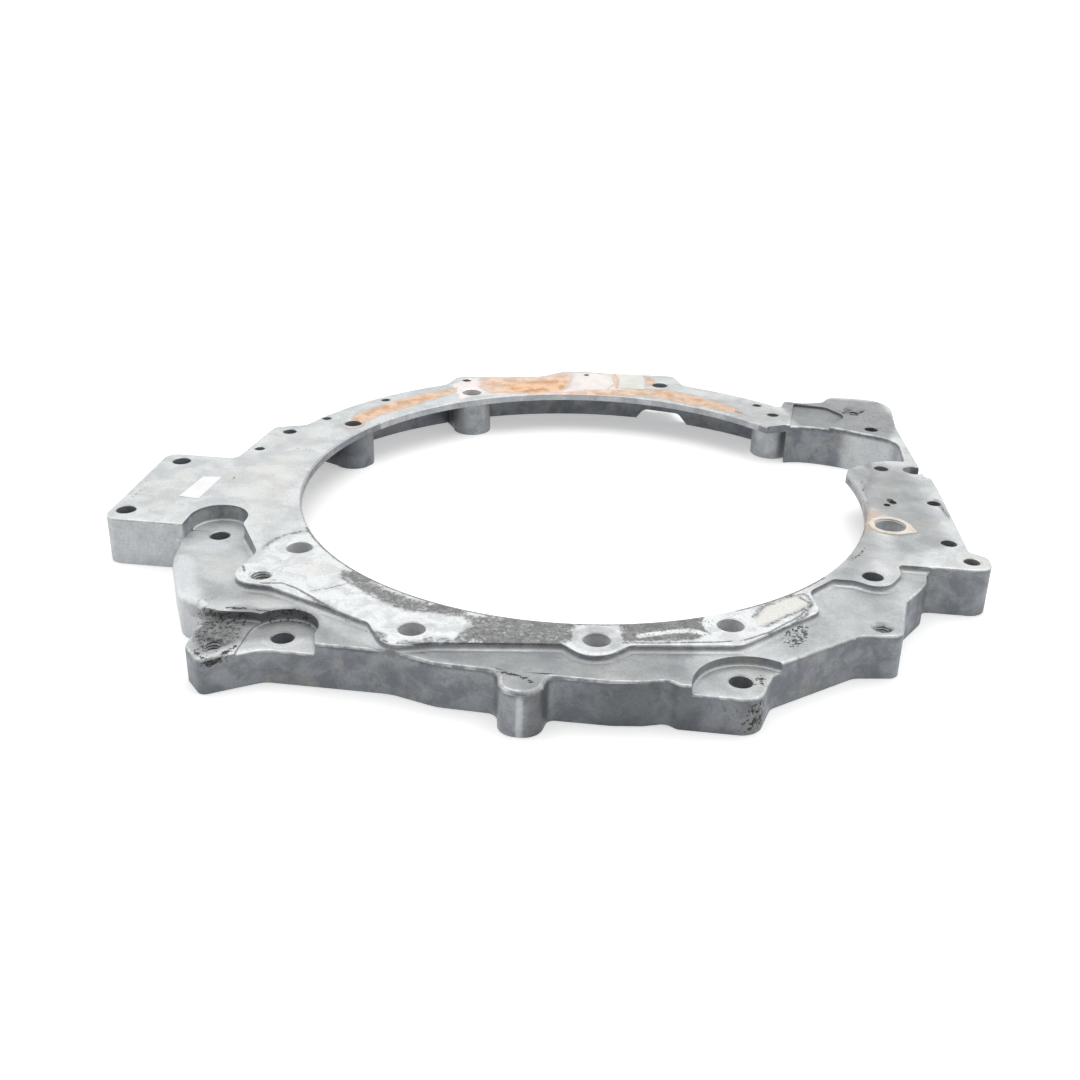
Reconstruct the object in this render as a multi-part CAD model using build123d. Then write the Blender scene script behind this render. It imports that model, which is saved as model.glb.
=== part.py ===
from build123d import *

import os
from dataclasses import dataclass
from math import atan2, cos, degrees, hypot, radians, sin

# Adapter plate between an engine block and a gearbox, cast in aluminium.
# One casting: a ring flange with a thin deck, a skirt round its edge and bosses
# under its holes, open from below. Millimetres, +Z up. The origin is the centre
# of the round opening, on the upper joint face. Heights below are counted from
# the lower joint face, and the finished casting is moved down by its height.

# Main sizes
opening_r = 165.0
plate_height = 27.5
skirt_wall = 5.0
deck = 5.0
opening_chamfer = 1.0
# The deck's machined edge stands so far inside the bosses and walls under it
opening_lip = 0.8

# Depths of the cast steps and machined pockets, down from the upper joint face
apron_drop = 3.5
left_pocket_drop = 9.5
corner_drop = 8.5
left_seat_drop = 9.5
right_seat_drop = 8.2
lug_recess_drop = 1.5
step_fillet = 2.5
pocket_fillet = 1.5

# Underside
back_band = 32.8
rib_width = 5.0
rib_setback = 3.0
neck_trim = 1.0
wall_gap = 9.0

# Holes
dowel_d = 16.3
stud_d = 13.2
plain_d = 13.9
bolt_d = 11.0
case_d = 8.7
cover_d = 7.8
small_d = 6.3
pin_d = 4.0
m12_core_d = 10.2
m10_core_d = 8.8
edge_hole_d = 12.6
hole_chamfer = 0.6
thread_chamfer = 1.3
dish_depth = 3.0
pin_depth = 3.6
blind_depth = 9.0
blind_floor = 2.5

# Bosses under the holes
large_boss_r = 13.0
bolt_boss_r = 11.5
case_boss_r = 9.0
small_boss_r = 6.5
nose_r = 11.0

# The square pad at the left
pad_reach = 94.2
pad_far_y = 6.2
pad_near_y = -91.0

over = 1.0


def at(angle, beyond):
    """Point at an angle in degrees, so far beyond the edge of the opening."""
    reach = opening_r + beyond
    return (reach * cos(radians(angle)), reach * sin(radians(angle)))


def rounded(corners):
    """Face whose corners, each given as (point, fillet radius), are rounded."""
    points = [point for point, radius in corners]
    radii = [radius for point, radius in corners]
    return make_face(FilletPolyline(*points, radius=radii, close=True).edges())


def prism(face, low, high):
    """Solid that stands on a flat face, from one height to another."""
    return extrude(Pos(0, 0, low) * face, amount=high - low)


def disc(point, radius):
    """Round face at a point."""
    return Pos(*point) * Circle(radius)


def bar(start, end, width):
    """Rectangular face along the line from one point to another."""
    length = hypot(end[0] - start[0], end[1] - start[1])
    turn = degrees(atan2(end[1] - start[1], end[0] - start[0]))
    middle = ((start[0] + end[0]) / 2, (start[1] + end[1]) / 2)
    return Pos(*middle) * Rot(0, 0, turn) * Rectangle(length, width)


def round_floor(tool, wall_line, radius):
    """Rounds the floor edges of a cutting tool that lie under a line of wall."""
    chosen = []
    for edge in tool.edges():
        middle = edge.position_at(0.5)
        level = abs(edge.tangent_at(0.5).Z) < 0.5
        under_wall = wall_line.distance_to(Vertex(middle.X, middle.Y, 0)) < 0.01
        if level and under_wall and middle.Z < plate_height:
            chosen.append(edge)
    return fillet(chosen, radius)


# Outline of the casting, clockwise from the near corner of the left pad
pad_x = -(opening_r + pad_reach)
left_wall_x = at(178.4, 50.7)[0]
left_side = [
    ((pad_x, pad_near_y), 9),
    ((pad_x, pad_far_y), 8),
    ((left_wall_x, pad_far_y), 5),
    (at(163.4, 53.1), 7),
    (at(160.0, 37.2), 7),
]
back_r = opening_r + 37.0
left_arc_middle, left_arc_half = 142.0, 16.0
right_arc_middle, right_arc_half = 62.0, 8.0
back_side = [
    (at(left_arc_middle, back_r / cos(radians(left_arc_half)) - opening_r), back_r),
    (at(124.8, 37.0), 6),
    (at(121.0, 50.0), 8),
    (at(104.4, 38.2), 10),
    (at(99.2, 50.3), 18),
    (at(77.9, 54.9), 7),
    (at(74.7, 37.7), 8),
    (at(right_arc_middle, back_r / cos(radians(right_arc_half)) - opening_r), back_r),
    (at(52.8, 37.2), 2.5),
]
starter_lug = [
    (at(54.7, 51.4), 3.5),
    (at(51.5, 54.9), 20),
    (at(49.6, 68.7), 6),
    (at(50.4, 81.9), 9),
    (at(43.6, 110.9), 20),
    (at(34.8, 76.5), 60),
    (at(14.3, 47.5), 3),
]
right_side = [
    (at(13.7, 51.2), 3),
    (at(9.1, 49.5), 60),
    (at(-13.4, 57.6), 4),
    (at(-14.0, 67.8), 7),
    (at(-18.0, 73.0), 9.5),
    (at(-21.0, 40.2), 5),
    (at(-24.5, 43.8), 14),
    (at(-31.5, 42.9), 10),
    (at(-40.2, 59.5), 6),
    (at(-44.7, 46.0), 12),
]
front_side = [
    (at(-59.3, 47.8), 8),
    (at(-63.7, 65.8), 11),
    (at(-72.3, 51.9), 4),
    (at(-73.4, 46.8), 6),
    (at(-76.4, 47.6), 10),
    (at(-80.2, 46.7), 30),
    (at(-88.2, 43.7), 4),
    (at(-89.0, 59.8), 9.5),
    (at(-93.7, 59.9), 9.5),
    (at(-94.8, 43.3), 6),
    (at(-102.7, 46.4), 25),
    (at(-109.3, 45.8), 25),
]
left_corner = [
    (at(-123.6, 72.9), 12),
    (at(-126.3, 101.2), 4),
    (at(-129.9, 98.1), 6),
    (at(-134.7, 76.6), 5),
    (at(-139.1, 82.4), 15),
    (at(-149.9, 75.0), 70),
    ((at(-156.9, 67.0)[0], pad_near_y), 6),
]
outline = rounded(left_side + back_side + starter_lug + right_side + front_side + left_corner)

# Front edge of the raised flange, from the left pocket to the right lug.
# Outside it the casting steps down to the apron.
lug_near_y = at(-22.8, 26.2)[1]
left_pocket_centre = at(-158.2, 46.2)
left_pocket_r = 16.3
pocket_left_x = left_pocket_centre[0] - left_pocket_r
pocket_right_x = left_pocket_centre[0] + left_pocket_r
flange_left = [
    ((pocket_right_x, at(-155.0, 33.8)[1]), 6),
    (at(-143.9, 33.6), 14),
    (at(-137.9, 59.5), 12.8),
]
flange_front = [
    (at(-133.1, 43.7), 8),
    (at(-115.1, 34.1), 8),
    (at(-109.8, 48.7), 11.5),
    (at(-104.2, 34.7), 14),
    (at(-86.9, 20.3), 5),
    (at(-82.7, 35.6), 13.5),
    (at(-77.1, 20.9), 5),
    (at(-61.7, 31.4), 8),
    (at(-45.3, 22.5), 9),
]
flange_right = [
    (at(-41.4, 5.2), 8),
    (at(-34.4, 5.8), 3),
    (at(-32.4, 15.0), 10),
    (at(-32.2, 31.7), 10),
    (at(-26.0, 31.2), 12),
    ((at(-22.8, 26.2)[0], lug_near_y), 3),
]
far_out = 2.0 * opening_r
flange_points = [(pocket_right_x, left_pocket_centre[1])]
flange_radii = []
for point, radius in flange_left + flange_front + flange_right:
    flange_points.append(point)
    flange_radii.append(radius)
flange_points.append((far_out, lug_near_y))
flange_edge = FilletPolyline(*flange_points, radius=flange_radii)


@dataclass(frozen=True)
class Hole:
    """Hole down to the lower joint face, or blind, with the boss that carries it."""

    point: tuple
    diameter: float
    boss_r: float
    chamfer: float = hole_chamfer
    drop: float = 0.0
    blind: bool = False


holes = {
    "dowel": Hole(at(-8.0, 13.9), dowel_d, large_boss_r),
    "front_middle": Hole(at(-81.9, 15.2), stud_d, large_boss_r),
    "front_left": Hole(at(-108.9, 28.2), stud_d, large_boss_r),
    "front_right": Hole(at(-60.2, 12.2), stud_d, large_boss_r),
    "left_plain": Hole(at(-142.6, 11.9), plain_d, large_boss_r),
    "back_left": Hole(at(121.7, 14.3), stud_d, large_boss_r),
    "left_tapped": Hole(at(-136.9, 41.2), m12_core_d, large_boss_r, thread_chamfer),
    "pad_near": Hole(at(-162.8, 97.1), bolt_d, bolt_boss_r),
    "pad_far": Hole(at(-179.0, 81.5), bolt_d, bolt_boss_r),
    "left_pocket": Hole(at(-157.1, 46.3), bolt_d, bolt_boss_r, drop=left_pocket_drop),
    "back_far_left": Hole(at(154.2, 13.3), bolt_d, large_boss_r),
    "back_bright": Hole(at(79.2, 31.5), bolt_d, bolt_boss_r, blind=True),
    "right_flange": Hole(at(-29.0, 19.7), bolt_d, bolt_boss_r),
    "corner_seat": Hole(at(-124.1, 59.1), bolt_d, bolt_boss_r, drop=left_seat_drop),
    "right_seat": Hole(at(-64.0, 48.1), bolt_d, bolt_boss_r, drop=right_seat_drop),
    "corner_tapped": Hole(at(-128.2, 87.6), m10_core_d, bolt_boss_r, thread_chamfer, corner_drop),
    "apron_tapped": Hole(at(-40.3, 47.4), m10_core_d, bolt_boss_r, thread_chamfer, apron_drop),
    "left_case": Hole(at(164.2, 39.6), case_d, case_boss_r),
    "tab_far": Hole(at(18.7, 26.0), case_d, case_boss_r),
    "starter_side": Hole(at(35.6, 57.9), case_d, case_boss_r),
    "lug_side": Hole(at(-16.3, 60.0), case_d, case_boss_r),
    "tab_near": Hole(at(-11.4, 46.3), case_d, case_boss_r),
    "tab_edge": Hole(at(3.4, 41.7), cover_d, case_boss_r),
    "back_right": Hole(at(51.4, 21.8), cover_d, large_boss_r),
    "left_side_small": Hole(at(173.4, 42.8), small_d, small_boss_r, blind=True),
    "left_back_small": Hole(at(155.1, 33.4), small_d, small_boss_r, blind=True),
    "back_small": Hole(at(140.0, 31.0), small_d, small_boss_r, blind=True),
    "back_lobe_small": Hole(at(120.0, 39.9), small_d, small_boss_r, blind=True),
    "right_back_small": Hole(at(57.0, 29.7), small_d, small_boss_r, blind=True),
    "lug_top": Hole(at(43.8, 74.4), case_d, bolt_boss_r, chamfer=dish_depth),
    "edge": Hole(at(17.1, 44.9), edge_hole_d, bolt_boss_r),
}
pin_holes = [at(95.0, 41.0), at(2.9, 17.7), at(1.4, 13.6)]
front_nose = at(-91.4, 47.5)
# Bosses that a full-width neck joins to the skirt, and those on a thin rib
necked = ["back_far_left", "back_left", "back_right"]
ribbed = ["left_plain", "left_tapped", "front_left", "front_middle", "front_right", "right_flange", "dowel"]

# Opening for the starter motor, cut through beside the round opening
tab_far = at(20.8, 45.4)
starter = rounded([
    (at(49.0, -12.0), 0),
    (at(44.6, 23.0), 40),
    (at(38.5, 39.0), 60),
    (at(29.6, 60.9), 16),
    (tab_far, 4),
    (at(22.1, 31.4), 25),
    (at(19.4, 5.0), 6),
    (at(10.0, -8.0), 0),
])

# Arched notch in the lower edge of the back skirt
notch_angle = 78.4
notch_height = 7.0
notch_half = 20.0
notch_r = 6.0


# Areas that are cut down from above
def apron_area():
    """Everything in front of the flange edge."""
    start = flange_points[0]
    closing = Polyline(
        (far_out, lug_near_y),
        (far_out, -far_out),
        (-far_out, -far_out),
        (-far_out, pad_near_y),
        (pocket_left_x, pad_near_y),
        (pocket_left_x, start[1]),
        start,
    )
    return make_face(flange_edge.edges() + closing.edges())


def left_pocket_area():
    """Round pocket in the near edge of the pad, open towards the sloping apron."""
    x, y = left_pocket_centre
    mouth = Pos(x, y - left_pocket_r / 4) * Rectangle(2 * left_pocket_r, left_pocket_r / 2)
    return disc(left_pocket_centre, left_pocket_r) + mouth


def left_seat_area():
    """Round seat at the left front, open to the front wall."""
    x, y = left_seat_centre
    diagonal = left_seat_r * cos(radians(45))
    side = Polyline(
        (x - left_seat_r, y),
        (x + diagonal, y + diagonal),
        (x + left_seat_r + left_seat_flare, y - left_seat_r),
        (x + left_seat_r + 2 * left_seat_flare, y - 2 * left_seat_r),
        (x - left_seat_r, y - 2 * left_seat_r),
        close=True,
    )
    return disc(left_seat_centre, left_seat_r) + make_face(side.edges())


left_seat_centre = holes["corner_seat"].point
left_seat_r = 17.5
left_seat_flare = 4.0
right_seat_centre = at(-64.2, 61.4)
right_seat_r = 27.6
corner_area = rounded([
    (at(-122.0, 100.0), 0),
    (at(-124.5, 53.0), 6),
    (at(-129.5, 60.5), 14),
    (at(-132.5, 73.0), 12),
    (at(-136.8, 82.0), 6),
    (at(-137.0, 120.0), 0),
    (at(-126.0, 130.0), 0),
])
lug_recess = rounded([
    (at(43.5, 10.0), 0),
    (at(52.3, 50.0), 2),
    (at(47.5, 62.0), 8),
    (at(42.3, 60.0), 10),
    (at(38.0, 20.0), 0),
])
apron = apron_area()
# The left apron slopes from this line down to the left pocket
hinge_start = at(-129.3, 40.1)
hinge_end = at(-138.2, 90.0)
left_half = Rectangle(far_out, 2 * far_out, align=(Align.MAX, Align.CENTER))
sloping_apron = apron & left_half
steps = [
    (corner_area, corner_drop),
    (left_seat_area(), left_seat_drop),
    (disc(right_seat_centre, right_seat_r), right_seat_drop),
    (left_pocket_area(), left_pocket_drop),
]


def above_slope(depth):
    """Space over the sloping apron, or so far below it, on the pocket side of the line."""
    along = (Vector(*hinge_start) - Vector(*hinge_end)).normalized()
    downhill = Vector(-along.Y, along.X, 0)
    reach = (Vector(*left_pocket_centre) - Vector(*hinge_start)).dot(downhill)
    tilt = atan2(left_pocket_drop - apron_drop, reach)
    up = downhill * sin(tilt) + Vector(0, 0, 1) * cos(tilt)
    origin = (*hinge_start, plate_height - apron_drop - depth)
    side = (Align.CENTER, Align.MIN, Align.MIN)
    return Plane(origin, x_dir=along, z_dir=up) * Box(2 * far_out, far_out, plate_height, align=side)


def outward(point, distance):
    """Point moved so far away from the centre of the opening."""
    share = 1 + distance / hypot(*point)
    return (point[0] * share, point[1] * share)


def top_cuts():
    """Tools that cut the apron, the pockets and the seats from above."""
    top = plate_height + over
    apron_floor = plate_height - apron_drop
    low = plate_height - left_pocket_drop - over
    tools = [
        round_floor(prism(apron, apron_floor, top), flange_edge, step_fillet),
        round_floor(prism(sloping_apron, low, top) & above_slope(0), flange_edge, step_fillet),
        prism(lug_recess, plate_height - lug_recess_drop, top),
    ]
    for area, drop in steps:
        tool = prism(area, plate_height - drop, top)
        tools.append(fillet(tool.edges().group_by(Axis.Z)[0], pocket_fillet))
    return tools


def core_area():
    """Plan of the hollow under the deck, inside the skirt and round the bosses."""
    area = offset(outline, amount=-skirt_wall)
    behind = make_face(
        Polyline((0, 0), at(160, far_out), at(110, far_out), at(58, far_out), close=True).edges()
    )
    area -= behind - Circle(opening_r + back_band)
    # The starter opening has a full wall from beside the back right boss to the tab
    beside_boss = holes["back_right"].point[0] + wall_gap
    starter_side = Pos(beside_boss, tab_far[1]) * Rectangle(
        far_out, far_out, align=(Align.MIN, Align.MIN)
    )
    area -= offset(starter, amount=skirt_wall) & starter_side
    for hole in holes.values():
        if not hole.blind:
            area -= disc(hole.point, hole.boss_r)
    area -= disc(front_nose, nose_r)
    for name in necked:
        hole = holes[name]
        area -= bar(hole.point, outward(hole.point, back_band), 2 * (hole.boss_r - neck_trim))
    return area + Circle(opening_r + opening_lip)


def rib_lines():
    """Centre lines of the ribs under the deck."""
    lines = [(holes[name].point, outward(holes[name].point, far_out)) for name in ribbed]
    pad_middle_y = (pad_far_y + pad_near_y) / 2
    inner = (left_wall_x + skirt_wall / 2, pad_middle_y)
    lines.append(((inner[0], pad_far_y), holes["left_pocket"].point))
    lines.append(((pad_x, pad_middle_y), inner))
    lines.append((holes["left_pocket"].point, holes["left_plain"].point))
    lines.append((holes["left_tapped"].point, holes["corner_seat"].point))
    lines.append((holes["front_right"].point, holes["right_seat"].point))
    lines.append((holes["right_flange"].point, holes["apron_tapped"].point))
    return lines


def core():
    """Hollow under the deck: the casting's core, with the ribs left standing."""
    hollow = prism(core_area(), -over, plate_height - deck)
    for area, drop in steps:
        below = offset(area, amount=deck)
        hollow -= prism(below, plate_height - drop - deck, plate_height)
    hollow -= prism(offset(apron, amount=deck), plate_height - apron_drop - deck, plate_height)
    hollow -= prism(offset(sloping_apron, amount=deck), 0, plate_height) & above_slope(deck)
    for start, end in rib_lines():
        hollow -= prism(bar(start, end, rib_width), rib_setback, plate_height)
    for hole in holes.values():
        if hole.blind:
            boss_end = plate_height - blind_depth - blind_floor
            hollow -= prism(disc(hole.point, hole.boss_r), boss_end, plate_height)
    return hollow


def through_cuts():
    """The round opening with its chamfer, the starter opening and the notch."""
    height = plate_height + 2 * over
    opening = prism(Circle(opening_r), -over, plate_height + over)
    cone = Cone(opening_r, opening_r + opening_chamfer + over, opening_chamfer + over)
    rim = Pos(0, 0, plate_height + (over - opening_chamfer) / 2) * cone
    profile = rounded([
        ((-notch_half, -over), 0),
        ((-0.7 * notch_half, notch_height), notch_r),
        ((0.6 * notch_half, notch_height), notch_r),
        ((notch_half, -over), 0),
    ])
    depth = 2 * back_band
    notch = extrude(profile, amount=depth, both=True)
    place = Pos(*at(notch_angle, back_band)) * Rot(0, 0, notch_angle - 90) * Rot(90, 0, 0)
    return [opening, rim, prism(starter, -over, height), place * notch]


def hole_cuts():
    """The drilled and tapped holes with their chamfers, and the blind pin holes."""
    tools = []
    for hole in holes.values():
        radius = hole.diameter / 2
        top = plate_height - hole.drop
        bottom = top - blind_depth if hole.blind else -over
        tools.append(prism(disc(hole.point, radius), bottom, plate_height + over))
        rise = hole.chamfer + over
        cone = Cone(radius, radius + rise, rise, align=(Align.CENTER, Align.CENTER, Align.MIN))
        tools.append(Pos(*hole.point, top - hole.chamfer) * cone)
    for point in pin_holes:
        tools.append(prism(disc(point, pin_d / 2), plate_height - pin_depth, plate_height + over))
    return tools


plate = prism(outline, 0, plate_height) - core()
for tool in top_cuts() + through_cuts() + hole_cuts():
    plate -= tool

plate = Pos(0, 0, -plate_height) * plate

os.makedirs("parts", exist_ok=True)
export_step(plate, "parts/adapter_plate.step")
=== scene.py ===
import logging
import math
from dataclasses import dataclass, field
from enum import Enum

import bmesh
import bpy
import numpy as np
from mathutils import Matrix, Vector


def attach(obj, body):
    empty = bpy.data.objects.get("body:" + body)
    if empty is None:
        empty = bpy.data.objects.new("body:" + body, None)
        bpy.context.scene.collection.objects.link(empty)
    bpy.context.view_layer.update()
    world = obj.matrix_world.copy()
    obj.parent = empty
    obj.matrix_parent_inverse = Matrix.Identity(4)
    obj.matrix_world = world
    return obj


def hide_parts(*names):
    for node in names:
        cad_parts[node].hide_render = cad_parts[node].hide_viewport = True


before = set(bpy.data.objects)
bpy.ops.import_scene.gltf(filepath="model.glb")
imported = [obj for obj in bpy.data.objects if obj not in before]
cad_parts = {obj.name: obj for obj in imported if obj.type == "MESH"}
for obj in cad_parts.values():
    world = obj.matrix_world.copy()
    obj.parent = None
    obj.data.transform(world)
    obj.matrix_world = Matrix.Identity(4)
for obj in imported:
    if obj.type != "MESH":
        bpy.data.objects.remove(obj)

logging.basicConfig(level=logging.INFO, format="%(message)s")
log = logging.getLogger("adapter_plate")

MM = 0.001
OPENING_R = 165.0
PLATE_HEIGHT = 27.5
FACE = (-1.0, 1.0)
"""Heights that hold the upper joint face, in millimetres."""
TINY = 1e-9
FLOAT, VECTOR, COLOUR = "NodeSocketFloat", "NodeSocketVector", "NodeSocketColor"
NODES_A_ROW = 12
NODE_SPACING = (220, 260)

Point = tuple[float, float]
Colour = tuple[float, float, float]
Flat = tuple[float, ...]
Socket = bpy.types.NodeSocket
Value = Socket | float


def at(angle: float, beyond: float) -> Point:
    """Place in the plan, in millimetres, by its angle and how far it lies beyond the opening.

    Args:
        angle: degrees, counter-clockwise from +X.
        beyond: millimetres outside the opening's edge.

    Returns:
        The x and y of the place.
    """
    reach = OPENING_R + beyond
    return (reach * math.cos(math.radians(angle)), reach * math.sin(math.radians(angle)))


def ring(centre: Point, radius: float) -> Flat:
    """Closed circle in the plan.

    Args:
        centre: its centre, in millimetres.
        radius: its radius, in millimetres.

    Returns:
        The x and y of its points in turn.
    """
    turns = [math.radians(15 * step) for step in range(25)]
    return tuple(
        value for t in turns
        for value in (centre[0] + radius * math.cos(t), centre[1] + radius * math.sin(t)))


def arc(beyond: float, first: int, last: int, step: int) -> Flat:
    """Arc round the opening.

    Args:
        beyond: millimetres outside the opening's edge.
        first: angle of its first point, in degrees.
        last: angle that it stops short of.
        step: degrees between two points.

    Returns:
        The x and y of its points in turn.
    """
    return tuple(value for angle in range(first, last, step) for value in at(angle, beyond))


BORES = (
    (-8, 13.9, 8.15), (-81.9, 15.2, 6.6), (-108.9, 28.2, 6.6), (-60.2, 12.2, 6.6),
    (-142.6, 11.9, 6.95), (121.7, 14.3, 6.6), (-136.9, 41.2, 5.1), (-162.8, 97.1, 5.5),
    (-179, 81.5, 5.5), (-157.1, 46.3, 5.5), (154.2, 13.3, 5.5), (79.2, 31.5, 5.5),
    (-29, 19.7, 5.5), (-124.1, 59.1, 5.5), (-64, 48.1, 5.5), (-128.2, 87.6, 4.4),
    (-40.3, 47.4, 4.4), (164.2, 39.6, 4.35), (18.7, 26, 4.35), (35.6, 57.9, 4.35),
    (-16.3, 60, 4.35), (-11.4, 46.3, 4.35), (3.4, 41.7, 3.9), (51.4, 21.8, 3.9),
    (173.4, 42.8, 3.15), (155.1, 33.4, 3.15), (140, 31, 3.15), (120, 39.9, 3.15),
    (57, 29.7, 3.15), (43.8, 74.4, 4.35), (17.1, 44.9, 6.3),
)
"""Angle, distance beyond the opening and radius of every hole, in degrees and millimetres."""

FRONT_RESIDUE = (
    (-107.3, -132.4, -102.0, -133.5, -82.8, -147.0, -67.7, -155.1, -53.6, -159.9, -39.9, -163.7,
     -38.2, -167.5, -52.6, -164.9, -69.8, -165.7, -84.7, -155.9, -97.6, -145.2),
    (-42.6, -165.2, -12.8, -167.5, 14.3, -167.4, 13.9, -181.0, -9.7, -188.7, -33.2, -189.8, -36.5,
     -181.9, -34.2, -173.7),
    (-118.0, -160.5, -97.4, -174.5, -74.1, -191.1, -74.1, -194.8, -95.3, -182.1),
    (35.8, -164.1, 58.4, -157.5, 79.9, -149.5, 79.2, -164.3, 68.9, -171.8, 38.2, -177.9),
)
"""Outlines of the gasket residue on the scraped front of the joint face, x and y in turn."""

CORNER_DIRT = (
    (-178.4, -166.6, -169.7, -170.3, -153.6, -166.5, -150.1, -182.1, -161.6, -191.9, -169.3,
     -187.3),
    (-164.2, -198.1, -153.4, -192.4, -147.7, -202.8, -155.9, -209.7),
    (-151.3, -167.2, -129.2, -162.4, -118.7, -166.8, -136.4, -171.8, -146.3, -175.5),
)
"""Outlines of the burnt oil round the tapped corner hole, x and y in turn."""

APRON_DIRT = (
    (115.0, -147.3, 122.0, -141.1, 127.0, -146.2, 124.0, -158.4, 116.3, -163.5),
)
"""Outline of the burnt oil on the right of the apron, x and y in turn."""


class Graph:
    """Short hand for building one node tree."""

    def __init__(self, tree: bpy.types.NodeTree) -> None:
        """Starts on an empty tree.

        Args:
            tree: the node tree to fill.
        """
        self.tree = tree
        self.count = 0

    def add(self, kind: str, inputs: dict | None = None, **settings) -> bpy.types.Node:
        """Adds a node.

        Args:
            kind: Blender's type name of the node.
            inputs: values or output sockets for its inputs, by name or number.
            settings: properties of the node itself.

        Returns:
            The new node.
        """
        node = self.tree.nodes.new(kind)
        row, column = divmod(self.count, NODES_A_ROW)
        node.location = (column * NODE_SPACING[0], -row * NODE_SPACING[1])
        self.count += 1
        for name, value in settings.items():
            setattr(node, name, value)
        for name, value in (inputs or {}).items():
            self.feed(node.inputs[name], value)
        return node

    def feed(self, socket: Socket, value: object) -> None:
        """Links an output to a socket, or sets the socket's own value.

        Args:
            socket: the input to feed.
            value: an output socket, a colour or a plain value.
        """
        if isinstance(value, Socket):
            self.tree.links.new(value, socket)
        elif isinstance(value, tuple) and len(value) == 3 and socket.type == "RGBA":
            socket.default_value = (*value, 1.0)
        else:
            socket.default_value = value

    def noise(self, place: Socket, scale: Value, detail: float = 3.0, rough: float = 0.55,
              warp: float = 0.0) -> Socket:
        """Value noise at a place.

        Args:
            place: the coordinate's output socket.
            scale: how many cells a metre, as a number or a socket.
            detail: number of octaves.
            rough: share of each finer octave.
            warp: distortion of the pattern.

        Returns:
            The factor's output socket.
        """
        return self.add("ShaderNodeTexNoise", {
            "Vector": place, "Scale": scale, "Detail": detail, "Roughness": rough,
            "Distortion": warp}).outputs[0]

    def math(self, operation: str, a: Value, b: Value = 0.0, clamp: bool = False) -> Socket:
        """One sum on two values.

        Args:
            operation: Blender's name of the sum.
            a: the first value.
            b: the second value.
            clamp: whether the result is held between 0 and 1.

        Returns:
            The result's output socket.
        """
        node = self.add("ShaderNodeMath", {0: a, 1: b}, operation=operation, use_clamp=clamp)
        return node.outputs[0]

    def times(self, a: Value, b: Value) -> Socket:
        """Product of two values, as an output socket."""
        return self.math("MULTIPLY", a, b)

    def rest(self, value: Value) -> Socket:
        """One less a value, as an output socket."""
        return self.math("SUBTRACT", 1.0, value)

    def part(self, vector: Socket, axis: str) -> Socket:
        """One part of a vector, as an output socket."""
        return self.add("ShaderNodeSeparateXYZ", {0: vector}).outputs[axis]

    def between(self, value: Value, low: Value, high: Value, to_low: float = 0.0,
                to_high: float = 1.0) -> Socket:
        """Maps a value from one range to another, smoothly and with its ends held.

        Args:
            value: the value.
            low: start of its range.
            high: end of its range.
            to_low: what the start becomes.
            to_high: what the end becomes.

        Returns:
            The result's output socket.
        """
        return self.add("ShaderNodeMapRange", {
            "Value": value, "From Min": low, "From Max": high, "To Min": to_low, "To Max": to_high},
            interpolation_type="SMOOTHSTEP").outputs["Result"]

    def mix(self, factor: Value, a: Socket | Colour, b: Socket | Colour) -> Socket:
        """Mixes two colours.

        Args:
            factor: share of the second colour.
            a: the first colour.
            b: the second colour.

        Returns:
            The colour's output socket.
        """
        node = self.add("ShaderNodeMix", data_type="RGBA", blend_type="MIX")
        self.feed(node.inputs[0], factor)
        self.feed(node.inputs[6], a)
        self.feed(node.inputs[7], b)
        return node.outputs[2]

    def attribute(self, name: str) -> Socket:
        """Value of a named attribute of the mesh, as an output socket."""
        node = self.add("ShaderNodeAttribute", attribute_name=name, attribute_type="GEOMETRY")
        return node.outputs["Fac"]

    def group(self, tree: bpy.types.NodeTree, inputs: dict) -> bpy.types.Node:
        """Places a node group and feeds it.

        Args:
            tree: the group.
            inputs: values or output sockets by the group's own names.

        Returns:
            The group's node.
        """
        node = self.add("ShaderNodeGroup", node_tree=tree)
        for name, value in inputs.items():
            self.feed(node.inputs[name], value)
        return node

    def bump(self, shader: bpy.types.Node, height: Socket, strength: float,
             distance: float) -> None:
        """Feeds a shader's normal with a bump.

        Args:
            shader: the shader's node.
            height: output socket of the height.
            strength: share of the bump that is used.
            distance: how high it stands, in metres.
        """
        node = self.add("ShaderNodeBump", {
            "Height": height, "Strength": strength, "Distance": distance})
        self.feed(shader.inputs["Normal"], node.outputs[0])


def new_material(name: str) -> tuple[bpy.types.Material, Graph, bpy.types.Node]:
    """Starts a material.

    Args:
        name: the material's name.

    Returns:
        The material, its graph and its shader.
    """
    made = bpy.data.materials.new(name)
    made.use_nodes = True
    return made, Graph(made.node_tree), made.node_tree.nodes["Principled BSDF"]


def new_group(
        name: str, inputs: dict, outputs: dict) -> tuple[Graph, bpy.types.Node, bpy.types.Node]:
    """Starts a shader node group with named sockets.

    Args:
        name: the group's name.
        inputs: socket type and default by name.
        outputs: socket type by name.

    Returns:
        The graph, its input node and its output node.
    """
    tree = bpy.data.node_groups.new(name, "ShaderNodeTree")
    for label, (kind, default) in inputs.items():
        socket = tree.interface.new_socket(label, in_out="INPUT", socket_type=kind)
        if default is not None:
            socket.default_value = default
    for label, kind in outputs.items():
        tree.interface.new_socket(label, in_out="OUTPUT", socket_type=kind)
    graph = Graph(tree)
    return graph, graph.add("NodeGroupInput"), graph.add("NodeGroupOutput")


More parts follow.
